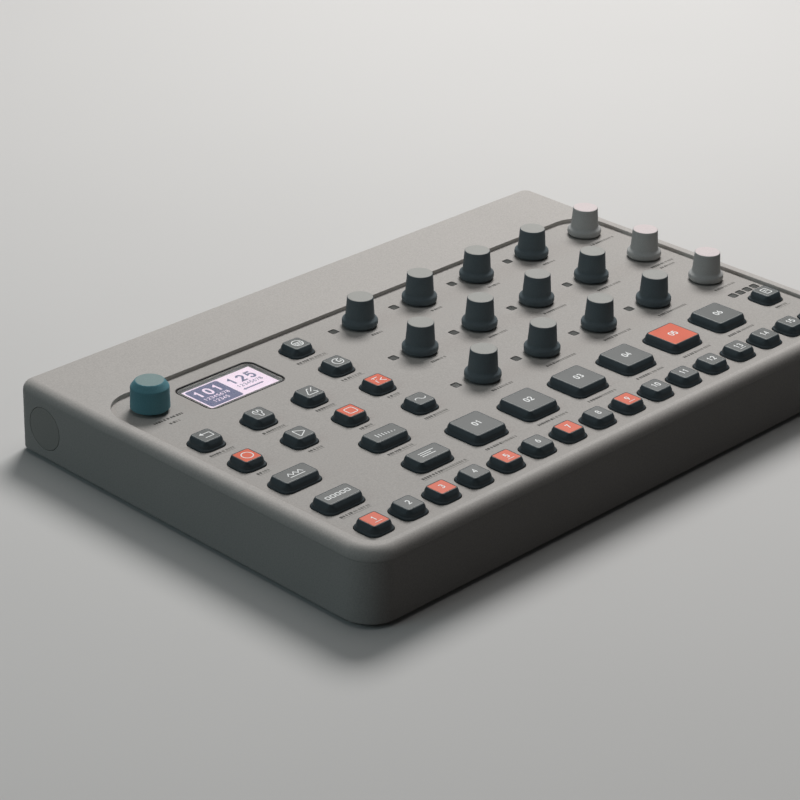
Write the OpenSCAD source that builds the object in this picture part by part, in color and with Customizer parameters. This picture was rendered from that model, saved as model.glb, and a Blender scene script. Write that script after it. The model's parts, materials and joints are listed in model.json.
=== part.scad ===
// Desktop drum machine: a shallow moulded case with a sunk control panel, sixteen step keys,
// six pads, fifteen function keys, sixteen knobs, a display and a row of rear sockets.
// Frame: X to the right along the key row, Y from front to back, Z up.
// The origin is on the surface that it stands on, under the middle of the case.
// Places and pitches are for the standard panel, and spread with a larger or smaller one.

/* [Case] */
// Width of the case along the key row
case_w = 273; // [271:1:300]
// Depth of the case from front to back
case_d = 179; // [177:1:195]
// Height of the side walls, from the lower edge to the top
wall_h = 26.8; // [25.5:0.1:32]
// Thickness of the side walls
wall_t = 2.4; // [1.8:0.1:3]
// Thickness of the top over the rear strip
top_t = 2.4; // [1.8:0.1:3.2]
// Plan radius of the front corners
front_corner_r = 12; // [8:0.5:15]
// Plan radius of the rear corners
rear_corner_r = 5; // [4.6:0.1:8]
// Radius of the rounded top edge
edge_r = 4.2; // [2.5:0.1:4.4]
// Chamfer along the lower edge of the walls
lower_chamfer = 0.5; // [0.2:0.1:1]
// Height of the lower edge above the standing surface
ground_gap = 1.6; // [1.2:0.1:4]

/* [Control panel] */
// Width of the rim beside the sunk panel
panel_side_rim = 6.2; // [5.5:0.1:7.5]
// Distance from the front wall to the panel
panel_front_rim = 5; // [4.5:0.1:6]
// Depth of the raised strip behind the panel
strip_d = 35.4; // [34.5:0.1:38]
// Thickness of the panel
panel_t = 2.5; // [2:0.1:3]
// Depth of the panel below the top at its front edge
panel_sink = 0.15; // [0.1:0.05:1]
// Slope of the panel, down towards the back, in degrees
panel_slope = 0.6; // [0:0.1:1]
// Plan radius of the panel's front corners
panel_front_r = 9; // [6:0.5:10]
// Plan radius of the panel's rear corners
panel_rear_r = 14; // [8:0.5:16]

/* [Keys] */
// Distance from the panel's sides to the first and last step key
trig_margin = 10.3; // [9.8:0.1:11]
// Distance from the front wall to the step key row
trig_row_y = 15.3; // [15:0.1:15.8]
// Side of the light window in a small key
window_s = 7.1; // [6.4:0.1:7.4]
// Length of the light window in a wide key
wide_window_w = 13.8; // [13:0.1:14.4]
// Side of the light window in a pad
pad_window_s = 13.4; // [12:0.1:13.8]
// Distance from the panel's left side to the first pad
pad_margin = 85.2; // [82:0.1:88]
// Distance between neighbouring pads
pad_pitch = 27; // [26.5:0.1:27.3]
// Distance from the step key row to the pads
pad_row_y = 23.8; // [23.2:0.1:24.4]
// Width of the sloped border round a light window
cap_border = 2.1; // [1.8:0.1:2.3]
// Height of the key tops above the panel
key_h = 3.4; // [3:0.1:5]
// Height by which a light window stands above its cap
window_rise = 0.2; // [0.05:0.05:0.4]
// Height of the lip round the foot of a key
key_lip_h = 0.9; // [0.5:0.1:1.4]
// Travel of a key when it is pressed
key_travel = 1.2; // [0.6:0.1:1.4]
// Gap between a key and the edge of its hole
key_gap = 0.3; // [0.2:0.05:0.4]
// Width of the flange that holds a key under the panel
key_flange = 0.75; // [0.6:0.05:0.8]
// Thickness of that flange
key_flange_t = 1.2; // [0.8:0.1:1.5]

/* [Function keys] */
// Distance from the panel's left side to the first key column
func_margin = 10.9; // [10.5:0.1:11.5]
// Distance between the function key columns
func_pitch_x = 24.7; // [24.3:0.1:25]
// Distance between the function key rows
func_pitch_y = 20.5; // [20.1:0.1:20.7]
// Distance between the keys of the fourth column
menu_pitch_y = 21; // [20.5:0.1:21.3]
// Distance from the panel's left side to the first column of wide keys
wide_margin = 13.7; // [13.2:0.1:14.5]
// Distance between the two columns of wide keys
wide_pitch_x = 43; // [42:0.1:43.4]
// Distance from the step key row to the wide keys
wide_row_y = 20.2; // [20:0.1:21]
// Distance from the step key row to the fourth column's front key
menu_row_y = 51; // [50:0.1:51.5]

/* [Knobs] */
// Distance from the fourth key column to the first knob column
knob_col_gap = 33.55; // [32:0.05:35]
// Distance from the last knob column to the panel's right side
knob_margin = 12.45; // [11.5:0.05:14]
// Distance from the step key row to the front row of knobs
knob_row_y = 51.6; // [50:0.1:52]
// Distance from the rear row of knobs to the panel's rear edge
knob_rear = 13.7; // [12.5:0.1:15]
// Distance between the knob columns
knob_pitch_x = 32.4; // [31.5:0.1:32.6]
// Distance between the knob rows
knob_pitch_y = 31.5; // [30.6:0.1:31.8]
// Height of the knob tops above the panel
knob_h = 11.9; // [10.4:0.1:18]
// Diameter of a knob at its top
knob_top_d = 10; // [9:0.1:10.6]
// Diameter of a knob above its skirt
knob_body_d = 11.1; // [10.6:0.1:12]
// Diameter of a knob's skirt
knob_skirt_d = 13.7; // [12.6:0.1:16]
// Gap between the underside of a knob and the panel
knob_gap = 0.5; // [0.3:0.1:1]
// Distance from the panel's left side to the data knob
data_margin = 14.3; // [13.5:0.1:15]
// Distance from the data knob to the panel's rear edge
data_rear = 13.55; // [13:0.05:15]
// Diameter of the data knob
data_knob_d = 14.3; // [12:0.1:17]
// Height of the data knob's top above the panel
data_knob_h = 11.8; // [10.6:0.1:18]
// Gap between the underside of the data knob and the panel
data_knob_gap = 1.2; // [0.6:0.1:1.8]
// Diameter of the encoder shafts
shaft_d = 6; // [5:0.1:6.4]
// Depth of the flat on a shaft
shaft_flat = 1.5; // [0.8:0.1:2]
// Radial clearance of a shaft in its bushing
shaft_clear = 0.05; // [0.02:0.01:0.1]

/* [Display] */
// Distance from the panel's left side to the middle of the display window
lens_margin = 48.3; // [47:0.1:50]
// Distance from the middle of the display window to the panel's rear edge
lens_rear = 18.1; // [17:0.1:19]
// Width of the display window
lens_w = 37.2; // [35:0.1:38]
// Depth of the display window
lens_d = 21.5; // [19:0.1:22]
// Corner radius of the display window
lens_r = 3.6; // [1.5:0.1:4.5]
// Thickness of the window lens
lens_t = 0.8; // [0.5:0.1:1.2]
// Side of the small light pipes
pipe_s = 3.3; // [2:0.1:3.5]

/* [Boards] */
// Depth of the main board below the panel's face
board_depth = 11; // [10.4:0.1:11.4]
// Thickness of the boards
board_t = 1.6; // [1.2:0.1:2]
// Height of a key switch's housing
switch_h = 3.4; // [2.5:0.1:3.6]
// Diameter of a key switch's plunger
plunger_d = 3.4; // [2.5:0.1:3.6]

/* [Rear sockets] */
// Diameter of the holes in the output sockets
output_bore_d = 6.4; // [6.36:0.01:6.5]
// Diameter of the holes in the phones and MIDI sockets
mini_bore_d = 3.6; // [3.52:0.01:3.7]
// Depth of the output sockets
output_bore_l = 27; // [22:0.5:28]
// Depth of the phones and MIDI sockets
mini_bore_l = 12; // [10:0.5:13]
// Height of the socket centres above the standing surface
socket_z = 15.5; // [14.5:0.1:17]
// Travel of the power switch
power_travel = 3.6; // [2:0.1:4]

/* [Base] */
// Thickness of the base plate
base_t = 2.4; // [2:0.1:3]
// Diameter of the rubber feet
foot_d = 15; // [10:0.5:20]
// Diameter of the base screws
screw_d = 3; // [2.5:0.1:3.5]
// Diameter of the side plugs
plug_d = 16.2; // [10:0.2:17]

/* [Hidden] */
$fn = 72;
small_fn = 32;
hull_fn = 20;
eps = 0.01;
bite = 1;

// Case levels and plan
case_top = ground_gap + wall_h;
half_w = case_w / 2;
half_d = case_d / 2;
inner_w = case_w - 2 * wall_t;
inner_d = case_d - 2 * wall_t;
panel_w = case_w - 2 * panel_side_rim;
panel_d = case_d - panel_front_rim - strip_d;
panel_front_y = -half_d + panel_front_rim;
panel_rear_y = panel_front_y + panel_d;
strip_y = panel_rear_y + wall_t;

// The distances across the standard panel, and from the step keys to its rear edge, add up
// to its size. On another panel all places spread with the sum
trig_count = 16;
pad_count = 6;
func_cols = 4;
knob_cols = 5;
knob_rows = 3;
trig_y = -half_d + trig_row_y;
standard_w = func_margin + (func_cols - 1) * func_pitch_x + knob_col_gap
    + (knob_cols - 1) * knob_pitch_x + knob_margin;
standard_reach = knob_row_y + (knob_rows - 1) * knob_pitch_y + knob_rear;
spread_x = panel_w / standard_w;
spread_y = (panel_rear_y - trig_y) / standard_reach;
function across(x) = x * spread_x;
function from_left(x) = -panel_w / 2 + across(x);
function from_right(x) = panel_w / 2 - across(x);
function behind(y) = trig_y + y * spread_y;
function from_rear(y) = panel_rear_y - y * spread_y;

// Places on the panel, in the case's X and Y
trig_pitch = (panel_w - 2 * across(trig_margin)) / (trig_count - 1);
pad_y = behind(pad_row_y);
page_x = from_right(trig_margin);
data_place = [from_left(data_margin), from_rear(data_rear)];
lens_place = [from_left(lens_margin), from_rear(lens_rear)];
function trig_x(i) = from_left(trig_margin) + i * trig_pitch;
function pad_x(i) = from_left(pad_margin + i * pad_pitch);
function func_x(col) = from_left(func_margin + col * func_pitch_x);
function func_y(row) = behind(wide_row_y + row * func_pitch_y);
function menu_y(row) = behind(menu_row_y + row * menu_pitch_y);
function wide_x(col) = from_left(wide_margin + col * wide_pitch_x);
function knob_x(col) = from_right(knob_margin + (knob_cols - 1 - col) * knob_pitch_x);
function knob_y(row) = behind(knob_row_y + (knob_rows - 1 - row) * knob_pitch_y);
led_dx = -11.35;
led_dy = 2.6;
page_led_dy = 10.5;
page_led_pitch = 4.4;

// Keys
window_gap = 0.03;
window_t = 1;
window_r = 0.5;
seat_gap = 0.02;
lip_r = 2.2;
skirt_in = 0.35;
shoulder_in = 0.65;
shoulder_drop = 0.85;
brim_w = 0.25;
brim_r = 0.8;
flange_gap = 0.1;
flange_top = -panel_t - flange_gap;
flange_bottom = flange_top - key_flange_t;
switch_s = 6;
switch_top = -board_depth + switch_h;
plunger_rise = key_travel + 0.4;
plunger_top = switch_top + plunger_rise;
plunger_clear = 0.1;
plunger_in = switch_h - key_travel - 0.6;
plunger_foot = switch_top - plunger_in;
stem_s = 4;
key_color = [0.14, 0.17, 0.18];

// Knobs, encoders
encoder_s = 11.4;
encoder_gap = 0.1;
bushing_d = shaft_d + 1.4;
bushing_top = 1;
bushing_hole = 0.3;
shaft_foot = -board_depth + 1.5;
shaft_top = 8.2;
relief_d = bushing_d + 1.6;
relief_top = 2;
bore_slip = 0.02;

// Display
lens_gap = 0.2;
lens_ledge = 0.85;
ledge_w = 1;
glass_gap = 0.4;
glass_t = 1.7;
glass_r = 0.8;
holder_w = 1.5;
holder_wall = 1.5;
pipe_gap = 0.12;
pipe_r = 0.6;
emitter_t = 0.8;
pipe_sink = 0.1;

// Screws, bosses and posts
boss_wall = 1.7;
boss_d = screw_d + 2 * boss_wall;
pilot_d = screw_d - 0.5;
pilot_l = 9;
base_screw_bite = 5;
head_d = screw_d + 2.5;
head_t = 1.6;
screw_gap = 0.2;
boss_in_wall = 0.4;
side_boss_x = half_w - wall_t - boss_d / 2 + boss_in_wall;
front_boss_y = -half_d + wall_t + boss_d / 2 - boss_in_wall;
side_boss_in = 10.25;
side_boss_y = trig_y + side_boss_in;
mid_boss_y = 2;
rear_boss_in_x = 10;
rear_boss_in_y = 8.5;
rear_boss_x = half_w - rear_boss_in_x;
rear_boss_y = half_d - rear_boss_in_y;
front_boss_x = 4 * trig_pitch;
post_d = 5;
post_screw_d = 2;
post_screw_bite = 4;
post_head_d = 4;
post_head_t = 1.2;
post_front_in = 10.2;
post_rear_in = 31.3;
post_front_y = trig_y + post_front_in;
post_rear_y = from_rear(post_rear_in);
post_places = [[trig_x(1.5), post_front_y], [pad_x(1.5), post_front_y],
    [trig_x(trig_count - 1.5), post_front_y],
    [trig_x(0), post_rear_y], [(func_x(func_cols - 1) + knob_x(0)) / 2, post_rear_y],
    [(knob_x(knob_cols - 2) + knob_x(knob_cols - 1)) / 2, post_rear_y]];
boss_places = [[-front_boss_x, front_boss_y], [front_boss_x, front_boss_y],
    [-side_boss_x, side_boss_y], [side_boss_x, side_boss_y],
    [-side_boss_x, mid_boss_y], [side_boss_x, mid_boss_y],
    [-rear_boss_x, rear_boss_y], [rear_boss_x, rear_boss_y]];

// Base
base_gap = 0.3;
base_lift = 0.6;
base_z = ground_gap + base_lift;
base_top = base_z + base_t;
rim_h = 3.5;
rim_t = 1.6;
foot_sink = 0.8;
foot_in_x = 22;
foot_in_y = 20;
foot_x = half_w - foot_in_x;
foot_y = half_d - foot_in_y;
foot_gap = 0.1;
foot_chamfer = 0.8;

// Side plugs
plug_in = 14.9;
plug_rise = 12;
plug_y = half_d - plug_in;
plug_z = ground_gap + plug_rise;
plug_t = 1.3;
plug_gap = 0.2;
plug_stub_d = 6;

// Connector board and sockets
io_t = board_t;
output_body = [16, 12.4];
mini_body = [9, 8];
io_z = socket_z - output_body[1] / 2 - io_t;
io_d = 34;
io_front_y = half_d - io_d;
io_rear_y = half_d - wall_t - 0.4;

// Sockets, from the power switch at the right to the phones socket at the left
io_boss_gap = 2.3;
io_right_end = 17;
power_to_dc = 30;
dc_to_usb = 26;
usb_to_midi = 24;
midi_pitch = 18;
midi_to_output = 32;
output_pitch = 24;
output_to_phones = 22;
io_left_end = 12;
io_x1 = rear_boss_x - boss_d / 2 - io_boss_gap;
power_x = io_x1 - across(io_right_end);
dc_x = power_x - across(power_to_dc);
usb_x = dc_x - across(dc_to_usb);
midi_x = [usb_x - across(usb_to_midi + midi_pitch), usb_x - across(usb_to_midi)];
output_x = [midi_x[0] - across(midi_to_output + output_pitch), midi_x[0] - across(midi_to_output)];
phones_x = output_x[0] - across(output_to_phones);
io_x0 = phones_x - across(io_left_end);
nose_gap = 0.15;
nose_back = 0.15;
body_gap = 0.3;
post_io_d = 6;
io_screw_d = 2;
io_head_t = 1.2;
io_screw_bite = 2.5;
io_post_in = 5;
phones_to_post = 10;
io_post_x = [phones_x + across(phones_to_post), (output_x[1] + midi_x[0]) / 2, (midi_x[1] + usb_x) / 2,
    io_x1 - io_post_in];
io_posts = [for (x = io_post_x) [x, io_front_y + io_post_in]];
usb_port = [8, 3];
usb_port_r = 0.5;
usb_body = [9.4, 4.6, 8];
usb_r = 1;
dc_body = [9.4, 11.4, 13];
dc_hole_d = 6.5;
dc_pin_d = 2;
power_body = [15, 7, 8];
power_tab = [4, 3.2];
power_slot_gap = 0.2;

// Every function key: name, X, Y and window width
function_keys = [
    ["return_key", func_x(0), func_y(3), window_s],
    ["record_key", func_x(0), func_y(2), window_s],
    ["settings_key", func_x(1), func_y(3), window_s],
    ["play_key", func_x(1), func_y(2), window_s],
    ["metronome_key", func_x(2), func_y(3), window_s],
    ["stop_key", func_x(2), func_y(2), window_s],
    ["wave_key", func_x(3), menu_y(0), window_s],
    ["mute_key", func_x(3), menu_y(1), window_s],
    ["tempo_key", func_x(3), menu_y(2), window_s],
    ["menu_key", func_x(3), menu_y(3), window_s],
    ["pattern_key", wide_x(0), func_y(0), wide_window_w],
    ["function_key", wide_x(0), func_y(1), wide_window_w],
    ["track_key", wide_x(1), func_y(0), wide_window_w],
    ["retrigger_key", wide_x(1), func_y(1), wide_window_w],
    ["page_key", page_x, pad_y, window_s]
];

// Every key on the panel: X, Y, window width, window depth
function trig_key_place(i) = [trig_x(i), trig_y, window_s, window_s];
function pad_place(i) = [pad_x(i), pad_y, pad_window_s, pad_window_s];
function function_key_place(key) = [key[1], key[2], key[3], window_s];
key_places = concat(
    [for (i = [0:trig_count - 1]) trig_key_place(i)],
    [for (i = [0:pad_count - 1]) pad_place(i)],
    [for (key = function_keys) function_key_place(key)]);

// Knobs are numbered along each row, from the rear row to the front row
function knob_place(row, col) = [knob_x(col), knob_y(row)];
knob_places = [for (row = [0:knob_rows - 1], col = [0:knob_cols - 1]) knob_place(row, col)];
led_places = concat(
    [for (row = [0:knob_rows - 1], col = [0:knob_cols - 2])
        knob_place(row, col) + [led_dx, led_dy]],
    [for (i = [0:3]) [page_x + (i - 1.5) * page_led_pitch, pad_y + page_led_dy]]);

// Points on an arc, for turned profiles
function arc(cx, cy, r, a0, a1, n = 6) =
    [for (i = [0:n]) [cx + r * cos(a0 + (a1 - a0) * i / n), cy + r * sin(a0 + (a1 - a0) * i / n)]];

// Puts children on the panel: Z = 0 is the panel's face, square to it
module on_panel() {
    translate([0, panel_front_y, case_top - panel_sink])
        rotate([-panel_slope, 0, 0])
            translate([0, -panel_front_y, 0])
                children();
}

module at_panel(place) {
    on_panel()
        translate([place[0], place[1], 0])
            children();
}

// Rectangle with round corners, centred
module round_rect(w, d, r) {
    square([w - 2 * r, d], center = true);
    square([w, d - 2 * r], center = true);
    for (x = [-1, 1], y = [-1, 1])
        translate([x * (w / 2 - r), y * (d / 2 - r)])
            circle(r, $fn = small_fn);
}

module round_plate(w, d, r, z0, z1) {
    translate([0, 0, z0])
        linear_extrude(z1 - z0)
            round_rect(w, d, r);
}

// Plan with its own front and rear corner radii, centred in X, from y0 to y1
module plan(w, y0, y1, rf, rr) {
    for (side = [-1, 1]) {
        translate([side * (w / 2 - rf), y0 + rf])
            circle(rf);
        translate([side * (w / 2 - rr), y1 - rr])
            circle(rr);
    }
    translate([-w / 2, y0 + rf])
        square([w, y1 - y0 - rf - rr]);
    translate([-w / 2 + rf, y0])
        square([w - 2 * rf, rf + eps]);
    translate([-w / 2 + rr, y1 - rr - eps])
        square([w - 2 * rr, rr + eps]);
}

// Half section of the case edge, from x = 0 to x = reach: rounded at the top, chamfered below
module edge_section(reach) {
    difference() {
        union() {
            square([reach, wall_h - edge_r]);
            square([reach - edge_r, wall_h]);
            intersection() {
                translate([reach - edge_r, wall_h - edge_r])
                    circle(edge_r);
                translate([reach - edge_r, wall_h - edge_r])
                    square(edge_r + bite);
            }
        }
        polygon([[reach - lower_chamfer, 0], [reach + eps, 0],
            [reach + eps, lower_chamfer + eps], [reach, lower_chamfer]]);
    }
}

module case_corner(x, y, r) {
    translate([x, y, ground_gap])
        rotate_extrude()
            edge_section(r);
}

// Straight stretch of the case between two corners: towards +X, then turned by a
module case_side(length, reach, a) {
    rotate([0, 0, a])
        translate([0, length / 2, ground_gap])
            rotate([90, 0, 0])
                linear_extrude(length)
                    edge_section(reach);
}

// The whole outer form of the case, solid
module case_form() {
    rf = front_corner_r;
    rr = rear_corner_r;
    for (side = [-1, 1]) {
        case_corner(side * (half_w - rf), -half_d + rf, rf);
        case_corner(side * (half_w - rr), half_d - rr, rr);
        translate([0, (rf - rr) / 2, 0])
            case_side(case_d - rf - rr, half_w, side > 0 ? 0 : 180);
    }
    case_side(case_w - 2 * rf, half_d, -90);
    case_side(case_w - 2 * rr, half_d, 90);
}

module case_cavity() {
    difference() {
        translate([0, 0, ground_gap - bite])
            linear_extrude(case_top - top_t - ground_gap + bite)
                plan(inner_w, -half_d + wall_t, half_d - wall_t,
                    front_corner_r - wall_t, rear_corner_r - wall_t);
        on_panel()
            translate([-half_w, -half_d - bite, -panel_t])
                cube([case_w, strip_y + half_d + bite, wall_h]);
    }
}

module screw_boss(place) {
    translate([place[0], place[1], base_top])
        cylinder(h = case_top - top_t - base_top, d = boss_d, $fn = small_fn);
}

module boss_pilot(place) {
    translate([place[0], place[1], base_top - bite])
        cylinder(h = pilot_l + bite, d = pilot_d, $fn = small_fn);
}

// Rear wall openings: round holes for the socket noses, slots for the flat ports
module rear_openings() {
    for (x = concat([phones_x], midi_x))
        rear_hole(x, mini_body[1] + 2 * nose_gap);
    for (x = output_x)
        rear_hole(x, output_body[1] - 1 + 2 * nose_gap);
    rear_hole(dc_x, dc_body[0] + 2 * nose_gap);
    rear_slot(usb_x, usb_body[0] + 2 * nose_gap, usb_body[1] + 2 * nose_gap, usb_r + nose_gap);
    rear_slot(power_x, power_tab[0] + power_travel + 2 * power_slot_gap, power_tab[1] + 2 * power_slot_gap,
        2 * power_slot_gap);
}

module rear_hole(x, d) {
    translate([x, half_d + bite, socket_z])
        rotate([90, 0, 0])
            cylinder(h = wall_t + 2 * bite, d = d);
}

module rear_slot(x, w, h, r) {
    translate([x, half_d + bite, socket_z])
        rotate([90, 0, 0])
            round_plate(w, h, r, 0, wall_t + 2 * bite);
}

module plug_seats() {
    for (side = [-1, 1])
        translate([side * half_w, plug_y, plug_z])
            rotate([0, -side * 90, 0]) {
                translate([0, 0, -bite])
                    cylinder(h = plug_t + bite, d = plug_d + 2 * plug_gap);
                cylinder(h = wall_t + bite, d = plug_stub_d + 2 * plug_gap, $fn = small_fn);
            }
}

module panel_holes() {
    for (key = key_places)
        at_panel(key)
            round_plate(key[2] + 2 * (cap_border + key_gap), key[3] + 2 * (cap_border + key_gap),
                lip_r + key_gap, -panel_t - bite, bite);
    for (place = concat(knob_places, [data_place]))
        at_panel(place)
            translate([0, 0, -panel_t - bite])
                cylinder(h = panel_t + 2 * bite, d = bushing_d + 2 * bushing_hole);
    for (place = led_places)
        at_panel(place)
            round_plate(pipe_s + 2 * pipe_gap, pipe_s + 2 * pipe_gap, pipe_r + pipe_gap, -panel_t - bite, bite);
    at_panel(lens_place) {
        round_plate(lens_w + 2 * lens_gap, lens_d + 2 * lens_gap, lens_r + lens_gap, -lens_ledge, bite);
        round_plate(lens_w - 2 * ledge_w, lens_d - 2 * ledge_w, glass_r + glass_gap, -panel_t - bite, 0);
    }
}

module top_case() {
    color([0.67, 0.66, 0.64])
        difference() {
            union() {
                difference() {
                    case_form();
                    case_cavity();
                }
                for (place = boss_places)
                    screw_boss(place);
                for (place = post_places)
                    at_panel(place)
                        translate([0, 0, -board_depth])
                            cylinder(h = board_depth - panel_t, d = post_d, $fn = small_fn);
            }
            on_panel()
                linear_extrude(wall_h)
                    plan(panel_w, panel_front_y, panel_rear_y, panel_front_r, panel_rear_r);
            panel_holes();
            rear_openings();
            plug_seats();
            for (place = boss_places)
                boss_pilot(place);
            for (place = post_places)
                at_panel(place)
                    translate([0, 0, -board_depth - bite])
                        cylinder(h = post_screw_bite + 1 + bite, d = post_screw_d - 0.3, $fn = small_fn);
        }
}

module bottom_case() {
    outline_w = inner_w - 2 * base_gap;
    outline_y = half_d - wall_t - base_gap;
    rf = front_corner_r - wall_t - base_gap;
    rr = rear_corner_r - wall_t - base_gap;
    color([0.2, 0.21, 0.22])
        difference() {
            union() {
                translate([0, 0, base_z])
                    linear_extrude(base_t)
                        plan(outline_w, -outline_y, outline_y, rf, rr);
                difference() {
                    translate([0, 0, base_z])
                        linear_extrude(base_t + rim_h)
                            plan(outline_w, -outline_y, outline_y, rf, rr);
                    translate([0, 0, base_z])
                        linear_extrude(base_t + rim_h + bite)
                            plan(outline_w - 2 * rim_t, -outline_y + rim_t, outline_y - rim_t, rf - rim_t, 0.5);
                    for (place = boss_places)
                        translate([place[0], place[1], base_top])
                            cylinder(h = rim_h + bite, d = boss_d + 2 * base_gap + 1, $fn = small_fn);
                    translate([io_x0 - 1, io_front_y, base_top])
                        cube([io_x1 - io_x0 + 2, half_d - io_front_y, rim_h + bite]);
                }
                for (place = io_posts)
                    translate([place[0], place[1], base_z])
                        cylinder(h = io_z - base_z, d = post_io_d, $fn = small_fn);
            }
            for (x = [-1, 1], y = [-1, 1])
                translate([x * foot_x, y * foot_y, base_z - bite])
                    cylinder(h = foot_sink + bite, d = foot_d + 2 * foot_gap);
            for (place = io_posts)
                translate([place[0], place[1], base_top])
                    cylinder(h = io_z, d = io_screw_d - 0.3, $fn = small_fn);
            for (place = boss_places)
                translate([place[0], place[1], base_z - bite]) {
                    cylinder(h = base_t + 2 * bite, d = screw_d + 2 * screw_gap, $fn = small_fn);
                    cylinder(h = bite + head_t / 2, d = head_d + 2 * screw_gap, $fn = small_fn);
                }
        }
}

module foot() {
    rotate_extrude()
        polygon([[0, 0], [foot_d / 2 - foot_chamfer, 0], [foot_d / 2, foot_chamfer],
            [foot_d / 2, base_z + foot_sink], [0, base_z + foot_sink]]);
}

// Pan-head screw under a seat at z, pointing up
module screw(d, dh, th, length) {
    cylinder(h = length, d = d, $fn = small_fn);
    translate([0, 0, -th])
        cylinder(h = th, d = dh, $fn = small_fn);
}

module case_hardware() {
    color([0.12, 0.12, 0.13])
        for (x = [-1, 1], y = [-1, 1])
            translate([x * foot_x, y * foot_y, 0])
                foot();
    color([0.5, 0.5, 0.52])
        for (place = boss_places)
            translate([place[0], place[1], base_z + head_t / 2])
                screw(pilot_d - 0.1, head_d, head_t, base_t + base_screw_bite);
    color([0.6, 0.59, 0.57])
        for (side = [-1, 1])
            translate([side * half_w, plug_y, plug_z])
                rotate([0, -side * 90, 0]) {
                    cylinder(h = plug_t, d = plug_d);
                    cylinder(h = wall_t + 0.6, d = plug_stub_d, $fn = small_fn);
                }
}

module key_switch() {
    difference() {
        translate([-switch_s / 2, -switch_s / 2, -board_depth + seat_gap])
            cube([switch_s, switch_s, switch_h - seat_gap]);
        translate([0, 0, plunger_foot - key_travel - 0.2])
            cylinder(h = switch_h, d = plunger_d + 2 * plunger_clear, $fn = small_fn);
    }
}

module encoder() {
    difference() {
        union() {
            translate([-encoder_s / 2, -encoder_s / 2, -board_depth + seat_gap])
                cube([encoder_s, encoder_s, board_depth - panel_t - encoder_gap - seat_gap]);
            translate([0, 0, -panel_t - encoder_gap - eps])
                cylinder(h = bushing_top + panel_t + encoder_gap + eps, d = bushing_d);
        }
        translate([0, 0, shaft_foot - 0.1])
            cylinder(h = board_depth + bite, d = shaft_d + 2 * shaft_clear);
    }
}

module light_pipe() {
    round_plate(pipe_s, pipe_s, pipe_r, -board_depth + seat_gap + emitter_t + seat_gap, -pipe_sink);
    translate([-0.8, -0.5, -board_depth + seat_gap])
        cube([1.6, 1, emitter_t]);
}

module circuit_board() {
    board_w = 2 * side_boss_x - boss_d - 1;
    board_y0 = -half_d + wall_t + 4.7;
    board_y1 = panel_rear_y - 1;
    color([0.1, 0.3, 0.2]) {
        on_panel()
            difference() {
                translate([-board_w / 2, board_y0, -board_depth - board_t])
                    cube([board_w, board_y1 - board_y0, board_t]);
                for (place = post_places)
                    translate([place[0], place[1], -board_depth - board_t - bite])
                        cylinder(h = board_t + 2 * bite, d = post_screw_d + 0.4, $fn = small_fn);
                for (x = [-1, 1])
                    translate([x * front_boss_x, front_boss_y, -board_depth - board_t - bite])
                        cylinder(h = board_t + 2 * bite, d = boss_d + 1, $fn = small_fn);
            }
    }
    color([0.15, 0.15, 0.16])
        for (key = key_places)
            at_panel(key)
                key_switch();
    color([0.55, 0.56, 0.58]) {
        for (place = concat(knob_places, [data_place]))
            at_panel(place)
                encoder();
        for (place = post_places)
            at_panel(place)
                translate([0, 0, -board_depth - board_t - seat_gap])
                    screw(post_screw_d - 0.4, post_head_d, post_head_t, board_t + post_screw_bite);
    }
    color([0.85, 0.85, 0.8])
        for (place = led_places)
            at_panel(place)
                light_pipe();
}

module display() {
    glass_w = lens_w - 2 * ledge_w - 2 * glass_gap;
    glass_d = lens_d - 2 * ledge_w - 2 * glass_gap;
    glass_top = -lens_ledge - seat_gap;
    glass_bottom = glass_top - glass_t;
    at_panel(lens_place) {
        color([0.1, 0.1, 0.12, 0.5])
            round_plate(lens_w, lens_d, lens_r, -lens_ledge, -lens_ledge + lens_t);
        color([0.85, 0.78, 0.88])
            round_plate(glass_w, glass_d, glass_r, glass_bottom, glass_top);
        color([0.2, 0.2, 0.22])
            difference() {
                round_plate(lens_w + 2 * holder_w, lens_d + 2 * holder_w, 1,
                    -board_depth + seat_gap, glass_bottom - seat_gap);
                round_plate(glass_w - 2 * holder_wall, glass_d - 2 * holder_wall, glass_r,
                    -board_depth - bite, glass_bottom - holder_wall);
            }
    }
}

module socket(x, w, h, bore_d, bore_l, nose_d) {
    back_y = io_rear_y - bore_l - 2;
    difference() {
        union() {
            translate([x - w / 2, back_y, io_z + io_t + seat_gap])
                cube([w, half_d - wall_t - body_gap - back_y, h - seat_gap]);
            translate([x, half_d - nose_back, socket_z])
                rotate([90, 0, 0])
                    cylinder(h = wall_t + body_gap + bite, d = nose_d);
        }
        translate([x, half_d + bite, socket_z])
            rotate([90, 0, 0])
                cylinder(h = bore_l + bite + nose_back, d = bore_d);
    }
}

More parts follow.
